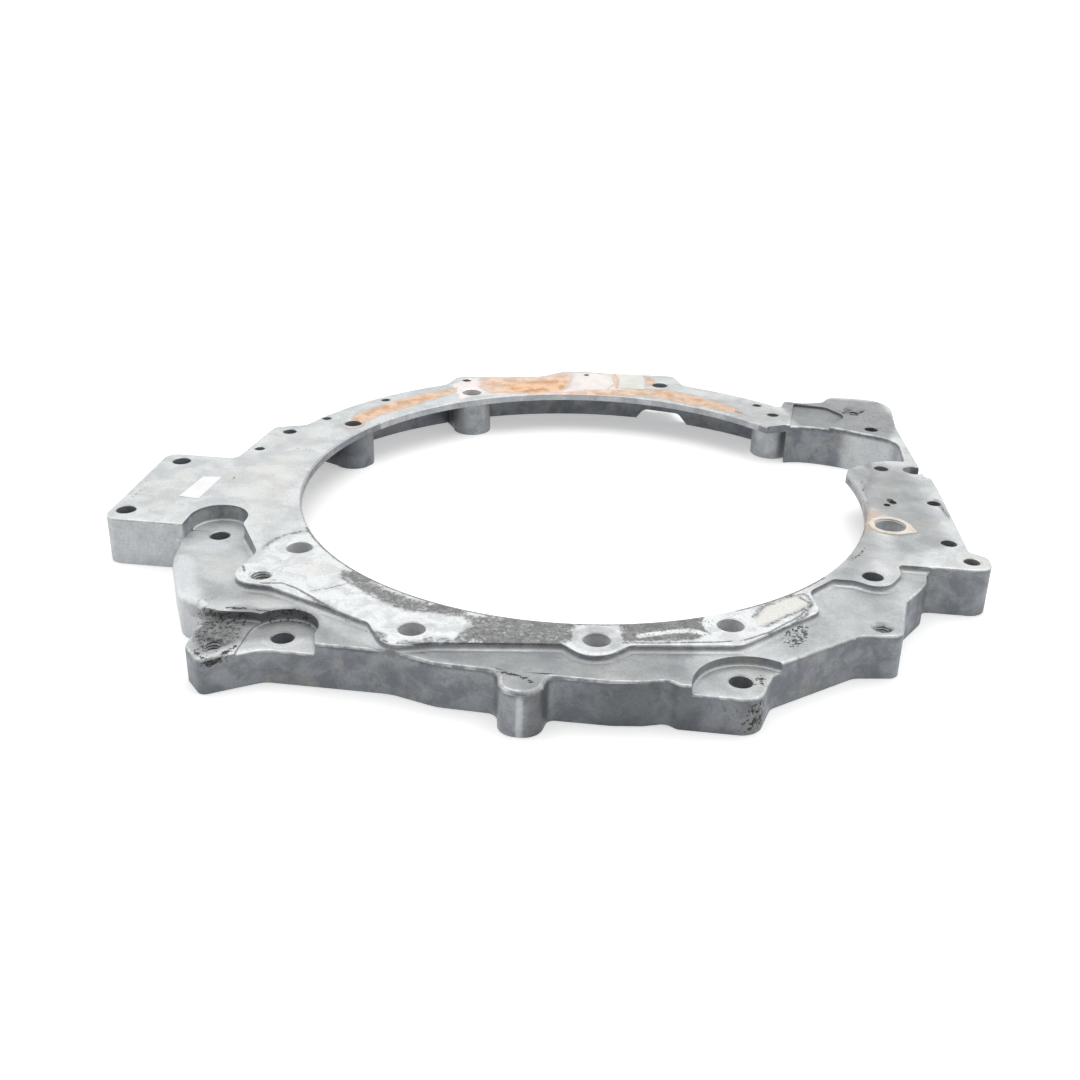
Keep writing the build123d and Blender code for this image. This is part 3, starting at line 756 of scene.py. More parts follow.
LINES = {
    StainLightAndShade.RESIDUE: (
        (2.2, 0.55, 3.0, FACE, (-158.7, -111.9, -157.2, -103.0, -151.4, -93.2, -142.9, -87.9,
         -133.3, -90.0)),
        (0.6, 0.75, 0.9, FACE, (-120.8, -154.6, -111.9, -149.8, -105.6, -144.4, -100.1, -135.7)),
        (0.5, 0.75, 0.9, FACE, (-163.1, -134.1, -157.6, -142.2, -150.3, -146.6, -141.1, -146.1)),
        (0.4, 0.6, 0.8, FACE, (-146.0, -124.1, -141.7, -132.6, -142.4, -141.8)),
        (1.2, 0.66, 1.6, FACE, (122.6, -120.5, 128.2, -125.9, 124.6, -138.9, 116.4, -150.3, 106.6,
         -159.7)),
        (0.3, 0.8, 0.7, FACE, (96.3, -149.7, 102.4, -133.4, 115.1, -120.7, 126.4, -114.5, 127.9,
         -123.9, 122.0, -134.3, 111.9, -144.1, 103.9, -153.4, 96.3, -149.7)),
        # Dark lines along the outer edge of the scraped land, where it steps down to the apron.
        (0.7, 0.85, 0.8, FACE, (-162.6, -134.0, -157.8, -143.4, -147.0, -150.4, -137.1, -148.7,
         -128.6, -152.7, -118.0, -160.5, -96.4, -178.3, -79.8, -191.1, -72.7, -196.5, -68.6, -197.7,
         -51.2, -194.7, -28.2, -190.9, 8.8, -185.6)),
        (0.6, 0.8, 0.8, FACE, (36.5, -180.0, 55.1, -176.9, 83.0, -171.3, 94.7, -167.5, 106.7,
         -157.8, 121.7, -139.4, 128.2, -125.9)),
        (0.7, 0.85, 1.0, FACE, arc(1.4, -150, -30, 5)),
        (1.8, 0.52, 2.2, FACE, (97.3, -149.6, 103.4, -134.3, 115.1, -121.8, 125.8, -115.7, 128.4,
         -124.0, 122.5, -133.6, 112.4, -143.6, 104.5, -152.9)),
    ),
    StainLightAndShade.CREAM: (
        (9.0, 0.7, 5.0, FACE, at(-16.3, 60.0)),
    ),
    StainLightAndShade.COPPER: (
        (1.2, 0.75, 1.6, FACE, (-168.0, 72.4, -160.9, 66.2, -153.7, 69.4, -153.9, 80.6)),
        (3.0, 1.0, 3.0, FACE, (-153.4, 100.1, -138.9, 121.0, -121.6, 138.8)),
        (0.8, 0.85, 1.4, FACE, (-24.8, 210.9, -13.1, 213.2, 0.9, 206.6, 4.5, 189.0, -1.8, 170.2,
         -15.0, 165.5)),
        (1.6, 0.95, 1.4, FACE, (2.0, 211.4, 7.0, 194.0, 6.6, 180.5)),
        (2.0, 1.0, 2.4, FACE, (34.1, 177.1, 59.3, 166.9, 77.0, 153.6, 92.8, 144.5)),
        (1.8, 0.7, 1.6, FACE, (95.5, 143.0, 99.6, 139.8)),
    ),
    StainLightAndShade.GRIME: (
        (0.5, 0.75, 0.8, FACE, (-57.9, 159.5, -51.5, 165.0, -44.3, 170.8)),
        (0.8, 0.7, 0.9, FACE, (90.8, 148.1, 95.6, 145.0)),
        (1.4, 0.72, 1.8, (-12.0, -1.2), (-157.6, -171.7, -148.6, -171.2)),
        (1.2, 0.58, 2.4, (-12.0, -1.2), (-143.5, -171.4, -135.1, -172.0, -124.5, -167.2, -115.3,
         -170.7)),
        (1.6, 0.66, 2.4, (-14.0, -4.0), (-163.4, -205.5, -154.1, -213.1, -148.0, -207.5, -144.3,
         -198.5)),
        (1.5, 0.5, 3.0, (-5.0, -2.0), (-178.2, -173.6, -175.6, -166.9, -169.6, -163.8)),
        (1.4, 0.62, 1.4, (-4.6, -2.5), (-15.8, -209.1, -10.2, -209.9, -3.9, -212.3, -0.3, -215.1)),
        (2.5, 0.3, 3.0, (-4.5, -2.5), (73.5, -153.3, 92.7, -161.7, 106.9, -161.3)),
        (1.8, 0.72, 2.4, (-3.0, 1.0), (170.5, 169.2, 178.5, 166.6, 173.4, 155.6, 165.5, 158.1,
         170.5, 169.2)),
        (1.4, 0.6, 1.6, FACE, (127.7, 169.4, 140.3, 171.8, 151.9, 180.2)),
        (0.9, 0.6, 1.2, FACE, (170.2, 72.7, 176.7, 75.5, 183.9, 73.5)),
        (1.6, 0.5, 2.2, FACE, (168.1, 9.7, 167.1, 24.4, 167.3, 39.8)),
        (2.2, 0.9, 1.2, FACE, (181.1, 12.0, 182.3, 7.9)),
        (0.9, 0.6, 1.4, FACE, (161.0, -56.2, 155.8, -67.0, 151.1, -72.6)),
        (0.6, 0.62, 1.0, FACE, (208.2, 16.9, 211.1, -2.6, 212.2, -10.7)),
        (1.0, 0.45, 1.6, FACE, (199.9, 15.4, 206.2, 19.4, 208.1, 8.2)),
        (0.5, 0.6, 0.8, FACE, (-206.4, -30.7, -206.0, -21.5)),
        (0.8, 0.4, 1.6, FACE, (-229.1, -13.1, -226.6, -6.2)),
        (0.9, 0.45, 1.6, FACE, (-186.7, 27.7, -177.6, 27.6, -171.7, 33.9)),
        (0.8, 0.5, 1.6, FACE, (-256.5, -74.5, -253.4, -56.9, -251.2, -41.8)),
        (3.5, 0.44, 3.0, (-26.0, -10.0), (87.5, -210.2, 95.0, -210.7, 104.5, -200.8)),
    ),
    # Darker lines and rings: painted shade on walls, in dips and round rings on the faces, with
    # dirt in the corner pocket.
    StainLightAndShade.DARK: (
        (3.0, 0.9, 3.0, (-12.0, -1.2), (-153.4, -172.1, -139.9, -172.8, -124.2, -168.1, -113.2,
         -174.4, -109.5, -183.6)),
        (3.0, 1.0, 4.0, FACE, (172.4, 69.7, 174.9, 50.6, 168.3, 24.6)),
        (2.0, 0.9, 3.0, FACE, (167.9, 6.8, 163.8, -19.3)),
        (1.6, 0.9, 2.4, FACE, (208.2, 16.9, 211.9, -5.3)),
        (0.4, 0.55, 1.0, FACE, ring((186.9, 17.5), 13.0)),
        (9.0, 1.0, 5.0, (-28.0, -3.0), (6.3, -220.7, 21.7, -218.2, 48.1, -212.2, 70.4, -213.5)),
        (9.0, 0.35, 5.0, (-28.0, -3.0), (75.1, -210.6, 90.6, -212.2, 104.1, -201.7)),
        (2.5, 1.0, 4.0, (-4.0, 1.0), (161.4, 157.3, 170.8, 173.4, 181.6, 171.3, 178.4, 150.6, 167.0,
         142.6, 161.4, 157.3)),
        (9.0, 0.6, 6.0, (-28.0, -3.0), (190.3, -91.4, 205.1, -93.3, 219.2, -84.2)),
        (8.0, 0.25, 5.0, (-28.0, -9.0), (-170.7, -182.6, -158.2, -213.8, -140.3, -218.0, -112.1,
         -201.5)),
        (12.0, 0.5, 4.0, (-28.0, -4.0), (-168.0, 72.4, -158.9, 68.5, -153.0, 77.0)),
        (3.0, 0.5, 1.5, FACE, ring(at(-81.9, 15.2), 9.5)),
        (2.0, 0.25, 1.5, FACE, ring(at(-108.9, 28.2), 9.5)),
    ),
    # Lighter lines and rings: painted light on the walls that face the side lamps, on the bosses
    # and along the back edge of the opening, and bright rings round three tapped holes.
    StainLightAndShade.BRIGHT: (
        (5.0, 0.5, 4.0, (-9.4, -0.6), (-213.5, -80.4, -210.5, -63.6, -200.7, -54.8, -187.3, -62.2)),
        (8.0, 0.75, 5.0, (-28.0, -0.8), (-253.1, -92.9, -223.1, -95.5, -189.6, -99.9)),
        (10.0, 0.95, 5.0, (-28.0, -2.0), (-204.7, -122.5, -191.3, -153.5, -180.9, -172.0)),
        (7.0, 0.35, 4.0, (-28.0, -5.0), (-13.4, -224.0, -4.7, -228.3, -0.3, -221.8)),
        (14.0, 0.8, 4.0, (-28.0, -3.0), at(51.4, 21.8)),
        (14.0, 0.55, 4.0, (-28.0, -3.0), at(121.7, 14.3)),
        # Painted highlight: a narrow streak down the front nose boss.
        (1.8, 0.95, 1.5, (-28.0, -5.0), (-4.6, -224.3)),
        (0.7, 1.0, 0.8, (-10.0, -8.0), ring(at(-128.2, 87.6), 5.4)),
        (0.6, 1.0, 0.8, (-3.0, 1.0), ring(at(-136.9, 41.2), 6.0)),
        (0.4, 1.0, 0.6, (-10.0, -9.0), ring(at(-124.1, 59.1), 9.5)),
        (1.0, 0.6, 1.0, (-6.0, -0.3), arc(0.0, 50, 160, 10)),
        (6.0, 0.85, 5.0, (-28.0, -2.0), (168.5, 127.5, 185.7, 115.9, 197.7, 91.4)),
        (7.0, 0.25, 5.0, (-28.0, -5.0), (-52.4, -211.6, -33.8, -212.0, -19.5, -214.9)),
    ),
}
"""Marks along a line: half width, strength, softness, heights, and its x and y in turn."""


@dataclass(frozen=True)
class Mark:
    """One painted mark of any kind, painted light and shade among them: its kind and shape, its
    points as x and y in turn, and its strength and softness.

    A line is so wide on each side. A mark holds only between its two heights. All are in mm.
    """

    mark_kind: StainLightAndShade
    shape: Shape
    points: Flat
    width: float
    strength: float
    soft: float
    heights: tuple[float, float] = FACE

    def weight(self, places: np.ndarray) -> np.ndarray:
        """Strength of the mark at many places.

        Args:
            places: rows of x, y and z in millimetres.

        Returns:
            One weight for each row, from 0 to the mark's strength.
        """
        corners = np.array(self.points, float).reshape(-1, 2)
        margin = self.width + self.soft
        near = np.all((places[:, :2] > corners.min(axis=0) - margin)
                      & (places[:, :2] < corners.max(axis=0) + margin), axis=1)
        near &= (places[:, 2] >= self.heights[0]) & (places[:, 2] <= self.heights[1])
        plan = places[near, :2]
        found = np.zeros(len(places))
        if self.shape is Shape.LINE:
            starts, ends = (corners[:-1], corners[1:]) if len(corners) > 1 else (corners, corners)
        else:
            starts, ends = corners, np.roll(corners, -1, axis=0)
        nearest = np.full(len(plan), np.inf)
        inside = np.zeros(len(plan), bool)
        for start, end in zip(starts, ends):
            step = end - start
            length = max(float(step @ step), TINY)
            share = np.clip(((plan - start) @ step) / length, 0, 1)
            nearest = np.minimum(nearest, np.hypot(*(plan - start - share[:, None] * step).T))
            if self.shape is Shape.PATCH and abs(step[1]) > TINY:
                lower, upper = sorted((start[1], end[1]))
                between = (plan[:, 1] >= lower) & (plan[:, 1] < upper)
                cross = start[0] + (plan[:, 1] - start[1]) * step[0] / step[1]
                inside ^= between & (plan[:, 0] < cross)
        depth = nearest - self.width
        if self.shape is Shape.PATCH:
            depth = np.where(inside, -nearest, nearest)
        share = np.clip(0.5 - depth / (2 * self.soft), 0, 1)
        found[near] = self.strength * share * share * (3 - 2 * share)
        return found


@dataclass(frozen=True)
class StainLightAndShadeMap:
    """All the marks of the casting, painted light and shade among them, painted on its vertices as
    attributes.
    """

    clean_seats: tuple[tuple[Point, float], ...] = (
        (at(-81.9, 15.2), 11.5), (at(-108.9, 28.2), 11.0), (at(-60.2, 12.2), 13.5),
        (at(-136.9, 41.2), 9.0),
    )
    bare_streak: Flat = (45.3, -171.9, 56.9, -166.5, 68.7, -162.5, 75.4, -164.5)
    streak_width: float = 1.6
    streak_share: float = 0.95
    seat_soft: float = 1.2
    # Painted light on the walls of the holes: the large bores' walls near white, the others a
    # little lighter.
    large_bore: float = 6.5
    large_shine: float = 1.0
    small_shine: float = 0.3
    bore_reach: float = 0.2
    bore_top: float = -0.5

    def marks(self) -> list[Mark]:
        """Makes the marks of both tables.

        Returns:
            The filled marks, then the lines.
        """
        patches = [
            Mark(mark_kind, Shape.PATCH, points, 0.0, strength, soft, heights)
            for mark_kind, rows in PATCHES.items() for strength, soft, heights, points in rows]
        return patches + [
            Mark(mark_kind, Shape.LINE, points, width, strength, soft, heights)
            for mark_kind, rows in LINES.items() for width, strength, soft, heights, points in rows]

    def cleared(self) -> list[Mark]:
        """Makes the marks where no residue is left.

        Returns:
            The seats of the bolts and one scraped streak.
        """
        seats = [
            Mark(StainLightAndShade.RESIDUE, Shape.LINE, centre, radius, 1.0, self.seat_soft)
            for centre, radius in self.clean_seats]
        return seats + [Mark(StainLightAndShade.RESIDUE, Shape.LINE, self.bare_streak, self.streak_width,
                             self.streak_share, self.seat_soft)]

    def weights(self, places: np.ndarray) -> np.ndarray:
        """Strength of every kind of mark at many places.

        Args:
            places: rows of x, y and z in millimetres.

        Returns:
            One row for each kind of mark, with a weight for each place.
        """
        layers = {mark_kind: np.zeros(len(places)) for mark_kind in StainLightAndShade}
        for mark in self.marks():
            layers[mark.mark_kind] = np.maximum(layers[mark.mark_kind], mark.weight(places))
        for mark in self.cleared():
            layers[mark.mark_kind] *= 1 - mark.weight(places)
        # Painted light: the walls of the holes, below the joint face, are painted lighter.
        for angle, beyond, radius in BORES:
            gap = np.hypot(*(places[:, :2] - at(angle, beyond)).T) - radius
            wall = (abs(gap) < self.bore_reach) & (places[:, 2] < self.bore_top)
            layers[StainLightAndShade.BRIGHT][wall] = (
                self.large_shine if radius > self.large_bore else self.small_shine)
        return np.array([layers[mark_kind] for mark_kind in StainLightAndShade])

    def paint(self, mesh: bpy.types.Mesh) -> None:
        """Writes one attribute for each kind of mark.

        Args:
            mesh: the casting's mesh, in metres.
        """
        places = np.zeros(len(mesh.vertices) * 3)
        mesh.vertices.foreach_get("co", places)
        for mark_kind, values in zip(StainLightAndShade, self.weights(places.reshape(-1, 3) / MM)):
            attribute = mesh.attributes.new(mark_kind.value, "FLOAT", "POINT")
            attribute.data.foreach_set("value", values.astype(np.float32))


def finished(mesh: bpy.types.Mesh, name: str, material: bpy.types.Material) -> bpy.types.Object:
    """Puts a finished mesh in the scene as a piece of the plate.

    Args:
        mesh: the mesh, in metres and in the plate's frame.
        name: the piece's name.
        material: its material.

    Returns:
        The piece's object.
    """
    piece = bpy.data.objects.new(name, mesh)
    bpy.context.scene.collection.objects.link(piece)
    mesh.materials.clear()
    mesh.materials.append(material)
    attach(piece, "root")
    log.info("%s: %d faces", name, len(mesh.polygons))
    return piece


def evaluated(source: bpy.types.Object, name: str) -> bpy.types.Mesh:
    """Plain mesh of an object with its modifiers, which then leaves the scene.

    Args:
        source: an object with modifiers.
        name: the new mesh's name.

    Returns:
        The mesh.
    """
    graph = bpy.context.evaluated_depsgraph_get()
    mesh = bpy.data.meshes.new_from_object(source.evaluated_get(graph), depsgraph=graph)
    mesh.name = name
    bpy.data.objects.remove(source)
    return mesh


def plain_mesh(work: bmesh.types.BMesh, name: str, smooth: bool = False) -> bpy.types.Mesh:
    """Turns a working mesh into a plain one and frees it.

    Args:
        work: the working mesh, in metres.
        name: the new mesh's name.
        smooth: whether its faces are shaded smooth.

    Returns:
        The plain mesh.
    """
    for face in work.faces:
        face.smooth = smooth
    mesh = bpy.data.meshes.new(name)
    work.to_mesh(mesh)
    work.free()
    return mesh


@dataclass(frozen=True)
class Rounding:
    """How far each kind of convex edge is rounded, in millimetres."""

    machined: float = 0.35
    cast: float = 1.1
    left_apron: float = 3.2
    nose: float = 2.2


@dataclass(frozen=True)
class Casting:
    """The plate's casting, with its edges rounded and its marks painted on.

    Angles are in degrees and lengths in millimetres. A slope is the z part of a face's normal.
    """

    rounding: Rounding = Rounding()
    segments: int = 3
    sharp_angle: float = 28.0
    smooth_angle: float = 38.0
    flat_angle: float = 0.6
    merge: float = 0.03
    top_slope: float = 0.6
    under_slope: float = -0.3
    chamfer_slopes: tuple[float, float] = (0.55, 0.85)
    opening_margin: float = 3.0
    bore_margin: float = 2.5
    skirt_reach: float = -20.0
    apron_x: float = -165.0
    apron_y: tuple[float, float] = (-185.0, -96.0)
    nose: Point = at(-91.4, 47.5)
    nose_reach: float = 17.0
    top_grid: float = 8.0
    wall_grid: float = 10.0
    mark_grid: float = 1.45
    wall_mark_grid: float = 3.5
    mark_change: float = 0.19
    splits: int = 9

    def radius(self, edge: bmesh.types.BMEdge) -> float:
        """Finds how far one edge of the CAD solid is rounded.

        Args:
            edge: the edge, with the faces that it joins.

        Returns:
            The rounding in millimetres, or 0 where it stays sharp.
        """
        sharp = math.radians(self.sharp_angle)
        if len(edge.link_faces) != 2 or edge.calc_face_angle_signed(0.0) < sharp:
            return 0.0
        slopes = [face.normal.z for face in edge.link_faces]
        middle = (edge.verts[0].co + edge.verts[1].co) / 2 / MM
        least, most = self.chamfer_slopes
        if min(slopes) < self.under_slope or any(least < abs(slope) < most for slope in slopes):
            return 0.0
        if middle.xy.length < OPENING_R + self.opening_margin:
            return self.rounding.machined
        if max(slopes) < self.top_slope:
            return 0.0
        for angle, beyond, bore in BORES:
            if (middle.xy - Vector(at(angle, beyond))).length < bore + self.bore_margin:
                return 0.0
        wall = min(edge.link_faces, key=lambda face: abs(face.normal.z))
        if min(corner.co.z for corner in wall.verts) / MM > self.skirt_reach:
            return 0.0
        if middle.x < self.apron_x and self.apron_y[0] < middle.y < self.apron_y[1]:
            return self.rounding.left_apron
        if (middle.xy - Vector(self.nose)).length < self.nose_reach:
            return self.rounding.nose
        return self.rounding.cast

    def rounded(self) -> bmesh.types.BMesh:
        """Copy of the CAD solid with its convex upper edges rounded.

        Returns:
            The mesh in metres, with the rounded faces marked in its edge attribute.
        """
        work = bmesh.new()
        work.from_mesh(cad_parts["adapter_plate"].data)
        bmesh.ops.remove_doubles(work, verts=work.verts, dist=self.merge * MM)
        bmesh.ops.dissolve_limit(work, angle_limit=math.radians(self.flat_angle),
                                 verts=work.verts, edges=work.edges)
        widest = max(self.rounding.cast, self.rounding.left_apron, self.rounding.nose)
        weight = work.edges.layers.float.new("bevel_weight_edge")
        for edge in work.edges:
            edge[weight] = self.radius(edge) / widest
        for face in work.faces:
            face.material_index = 0
        mesh = plain_mesh(work, "casting_sharp")
        holder = bpy.data.objects.new("casting_sharp", mesh)
        bpy.context.scene.collection.objects.link(holder)
        mesh.materials.clear()
        mesh.materials.append(None)
        mesh.materials.append(None)
        bevel = holder.modifiers.new("rounding", "BEVEL")
        bevel.limit_method = "WEIGHT"
        bevel.offset_type = "OFFSET"
        bevel.width = widest * MM
        bevel.segments = self.segments
        bevel.use_clamp_overlap = False
        bevel.material = 1
        rounded = bmesh.new()
        rounded.from_mesh(evaluated(holder, "casting_round"))
        edge_layer = rounded.faces.layers.float.new("edge")
        for face in rounded.faces:
            face[edge_layer] = float(face.material_index == 1)
            face.material_index = 0
        for corner in rounded.verts:
            corner.co.z = min(corner.co.z, 0.0)
        return rounded

    def refine(self, work: bmesh.types.BMesh, painted_marks: StainLightAndShadeMap) -> None:
        """Splits long edges, and shorter ones where a painted mark begins or ends.

        Args:
            work: the casting's mesh in metres.
            painted_marks: the marks that are painted on it, painted light and shade among them.
        """
        bmesh.ops.triangulate(work, faces=work.faces)
        for _ in range(self.splits):
            chosen, asked = [], []
            for edge in work.edges:
                top = any(face.normal.z > self.top_slope for face in edge.link_faces)
                length = edge.calc_length() / MM
                if length > (self.top_grid if top else self.wall_grid):
                    chosen.append(edge)
                elif length > (self.mark_grid if top else self.wall_mark_grid):
                    asked.append(edge)
            if asked:
                ends = [np.array([edge.verts[k].co[:] for edge in asked]) / MM for k in (0, 1)]
                found = [painted_marks.weights(place) for place in (*ends, (ends[0] + ends[1]) / 2)]
                changes = np.ptp(found, axis=0).max(axis=0) > self.mark_change
                chosen += [edge for edge, wanted in zip(asked, changes) if wanted]
            if not chosen:
                break
            bmesh.ops.subdivide_edges(work, edges=chosen, cuts=1)
            bmesh.ops.triangulate(work, faces=[face for face in work.faces if len(face.verts) > 3])

    def build(self, groups: Groups) -> bpy.types.Object:
        """Makes the casting's piece, which stands for the CAD node.

        Args:
            groups: the shared shader node groups.

        Returns:
            The piece.
        """
        work = self.rounded()
        painted_marks = StainLightAndShadeMap()
        self.refine(work, painted_marks)
        limit = math.radians(self.smooth_angle)
        for edge in work.edges:
            edge.smooth = len(edge.link_faces) == 2 and edge.calc_face_angle(0.0) < limit
        mesh = plain_mesh(work, "casting", smooth=True)
        painted_marks.paint(mesh)
        piece = finished(mesh, "casting", CastFinish().material(groups))
        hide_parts("adapter_plate")
        return piece


class NodeBuild:
    """Short hand for a Geometry Nodes tree with named inputs."""

    def __init__(self, name: str, inputs: dict) -> None:
        """Starts a tree.

        Args:
            name: the tree's name.
            inputs: socket type and default by name, the geometry left out.
        """
        shape = "NodeSocketGeometry"
        self.tree = bpy.data.node_groups.new(name, "GeometryNodeTree")
        self.tree.interface.new_socket("Geometry", in_out="INPUT", socket_type=shape)
        self.keys = {}
        for label, (kind, default) in inputs.items():
            socket = self.tree.interface.new_socket(label, in_out="INPUT", socket_type=kind)
            if default is not None:
                socket.default_value = default
            self.keys[label] = socket.identifier
        self.tree.interface.new_socket("Geometry", in_out="OUTPUT", socket_type=shape)
        self.graph = Graph(self.tree)
        self.start = self.graph.add("NodeGroupInput")
        self.end = self.graph.add("NodeGroupOutput")

    def close(self, geometry: Socket) -> None:
        """Ends the tree with real geometry that has its material.

        Args:
            geometry: output socket of what the tree makes.
        """
        real = self.graph.add("GeometryNodeRealizeInstances", {"Geometry": geometry})
        dressed = self.graph.add("GeometryNodeSetMaterial", {
            "Geometry": real.outputs[0], "Material": self.start.outputs["Material"]})
        self.graph.feed(self.end.inputs["Geometry"], dressed.outputs[0])

    def run(self, mesh: bpy.types.Mesh, name: str, values: dict) -> bpy.types.Mesh:
        """Runs the tree on a mesh.

        Args:
            mesh: what the tree starts from.
            name: the result's name.
            values: the tree's inputs by name.

        Returns:
            The plain mesh that it makes.
        """
        holder = bpy.data.objects.new(name, mesh)
        bpy.context.scene.collection.objects.link(holder)
        modifier = holder.modifiers.new(name, "NODES")
        modifier.node_group = self.tree
        for label, value in values.items():
            modifier[self.keys[label]] = value
        return evaluated(holder, name)


@dataclass(frozen=True)
class Thread:
    """Internal thread of one tapped hole: turns of a ridge on its wall."""

    name: str
    place: Point
    core_d: float
    pitch: float
    top: float
    length: float
    depth_share: float = 0.42

    def build(self, tree: NodeBuild, material: bpy.types.Material) -> bpy.types.Object:
        """Makes the thread's piece.

        Args:
            tree: the thread tree.
            material: the thread's metal, darker than bare aluminium as painted shade inside the
                holes.

        Returns:
            The piece.
        """
        mesh = tree.run(bpy.data.meshes.new(self.name), self.name, {
            "Radius": self.core_d / 2 * MM, "Pitch": self.pitch * MM,
            "Turns": self.length / self.pitch, "Depth": self.depth_share * self.pitch * MM,
            "Material": material})
        low = (self.top - self.length) * MM
        mesh.transform(Matrix.Translation((self.place[0] * MM, self.place[1] * MM, low)))
        for face in mesh.polygons:
            face.use_smooth = False
        return finished(mesh, self.name, material)


def thread_tree() -> NodeBuild:
    """Geometry Nodes tree that winds a ridge round the wall of a hole.

    Returns:
        The tree, ready to run.
    """
    built = NodeBuild("thread_ridge", {
        "Radius": (FLOAT, 0.005), "Pitch": (FLOAT, 0.0015), "Turns": (FLOAT, 10.0),
        "Depth": (FLOAT, 0.0005), "Material": ("NodeSocketMaterial", None)})
    graph, start = built.graph, built.start
    radius, pitch, turns, depth = (
        start.outputs[name] for name in ("Radius", "Pitch", "Turns", "Depth"))
    spiral = graph.add("GeometryNodeCurveSpiral", {
        "Resolution": 36, "Rotations": turns, "Start Radius": radius, "End Radius": radius,
        "Height": graph.times(pitch, turns)})
    upright = graph.add("GeometryNodeSetCurveNormal", {"Curve": spiral.outputs[0]}, mode="Z_UP")
    profile = graph.add("GeometryNodeCurvePrimitiveCircle", {"Resolution": 4, "Radius": depth})
    swept = graph.add("GeometryNodeCurveToMesh", {
        "Curve": upright.outputs[0], "Profile Curve": profile.outputs[0]})
    built.close(swept.outputs[0])
    return built


def crumb_tree() -> NodeBuild:
    """Geometry Nodes tree that scatters flat crumbs over the faces it is given.

    Returns:
        The tree, ready to run.
    """
    built = NodeBuild("crumb_scatter", {
        "Density": (FLOAT, 100000.0), "Size": (FLOAT, 0.0008), "Flatness": (FLOAT, 0.35),
        "Narrowness": (FLOAT, 0.7), "Tilt": (VECTOR, (0.35, 0.35, 6.28)),
        "Least": (FLOAT, 0.3), "Most": (FLOAT, 1.25), "Seed": ("NodeSocketInt", 7),
        "Material": ("NodeSocketMaterial", None)})
    graph, given = built.graph, built.start.outputs
    points = graph.add("GeometryNodeDistributePointsOnFaces", {
        "Mesh": given["Geometry"], "Density": given["Density"], "Seed": given["Seed"]})
    lump = graph.add("GeometryNodeMeshIcoSphere", {"Radius": given["Size"], "Subdivisions": 1})
    flat = graph.add("ShaderNodeCombineXYZ", {0: 1.0, 1: given["Narrowness"], 2: given["Flatness"]})
    pressed = graph.add("GeometryNodeTransform", {
        "Geometry": lump.outputs[0], "Scale": flat.outputs[0]})
    turn = graph.add("FunctionNodeRandomValue", {
        "Seed": given["Seed"], 1: given["Tilt"]}, data_type="FLOAT_VECTOR")
    grow = graph.add("FunctionNodeRandomValue", {
        "Seed": given["Seed"], 2: given["Least"], 3: given["Most"]}, data_type="FLOAT")
    placed = graph.add("GeometryNodeInstanceOnPoints", {
        "Points": points.outputs["Points"], "Instance": pressed.outputs[0],
        "Rotation": turn.outputs[0], "Scale": grow.outputs[1]})
    built.close(placed.outputs[0])
    return built


@dataclass(frozen=True)
class Crumbs:
    """Crumbs of old gasket or dirt on one level of the plate, so many a square metre."""

    name: str
    outlines: tuple[Flat, ...]
    level: float
    density: float
    size: float
    seed: int

    def build(self, tree: NodeBuild, material: bpy.types.Material) -> bpy.types.Object:
        """Makes the piece with all its crumbs.

        Args:
            tree: the crumb tree.
            material: what the crumbs are made of.

        Returns:
            The piece.
        """
        work = bmesh.new()
        for outline in self.outlines:
            work.faces.new([
                work.verts.new((x * MM, y * MM, self.level * MM))
                for x, y in zip(outline[::2], outline[1::2])])
        bmesh.ops.triangulate(work, faces=work.faces)
        mesh = tree.run(plain_mesh(work, f"{self.name}_base"), self.name, {
            "Density": self.density, "Size": self.size * MM, "Seed": self.seed,
            "Material": material})
        return finished(mesh, self.name, material)


@dataclass(frozen=True)
class PaperLabel:
    """Blank paper label: a thin, slightly rippled sheet with lifted edges, in millimetres."""

    name: str
    corners: tuple[Point, Point, Point, Point]
    thick: float = 0.12
    clear: float = 0.03
    ripple: float = 0.015
    lift: float = 0.036
    lift_power: int = 8
    steps: int = 14

    def build(self, material: bpy.types.Material) -> bpy.types.Object:
        """Makes the label's piece on the upper joint face.

        Args:
            material: the paper.

        Returns:
            The piece.
        """
        work = bmesh.new()
        corners = [Vector(corner) for corner in self.corners]
        rows = []
        for i in range(self.steps + 1):
            row = []
            for j in range(self.steps + 1):
                u, v = i / self.steps, j / self.steps
                place = corners[0].lerp(corners[1], u).lerp(corners[3].lerp(corners[2], u), v)
                rim = abs(2 * u - 1) ** self.lift_power + abs(2 * v - 1) ** self.lift_power
                swell = math.sin(7 * u + 3 * v) * math.sin(5 * v)
                low = self.clear + self.ripple * swell + self.lift * rim
                row.append([
                    work.verts.new((place.x * MM, place.y * MM, z * MM))
                    for z in (low + self.thick, low)])
            rows.append(row)
        for i in range(self.steps):
            for j in range(self.steps):
                a, b, c, d = rows[i][j], rows[i + 1][j], rows[i + 1][j + 1], rows[i][j + 1]
                work.faces.new((a[0], b[0], c[0], d[0]))
                work.faces.new((d[1], c[1], b[1], a[1]))
        bmesh.ops.bridge_loops(work, edges=[edge for edge in work.edges if edge.is_boundary])
        bmesh.ops.recalc_face_normals(work, faces=work.faces)
        return finished(plain_mesh(work, self.name), self.name, material)


def wave(turn: float, height: float, count: int, phase: float = 0.0) -> float:
    """Height at one turn, in radians, of a wave that goes round so many times."""
    return height * math.sin(count * turn + phase)


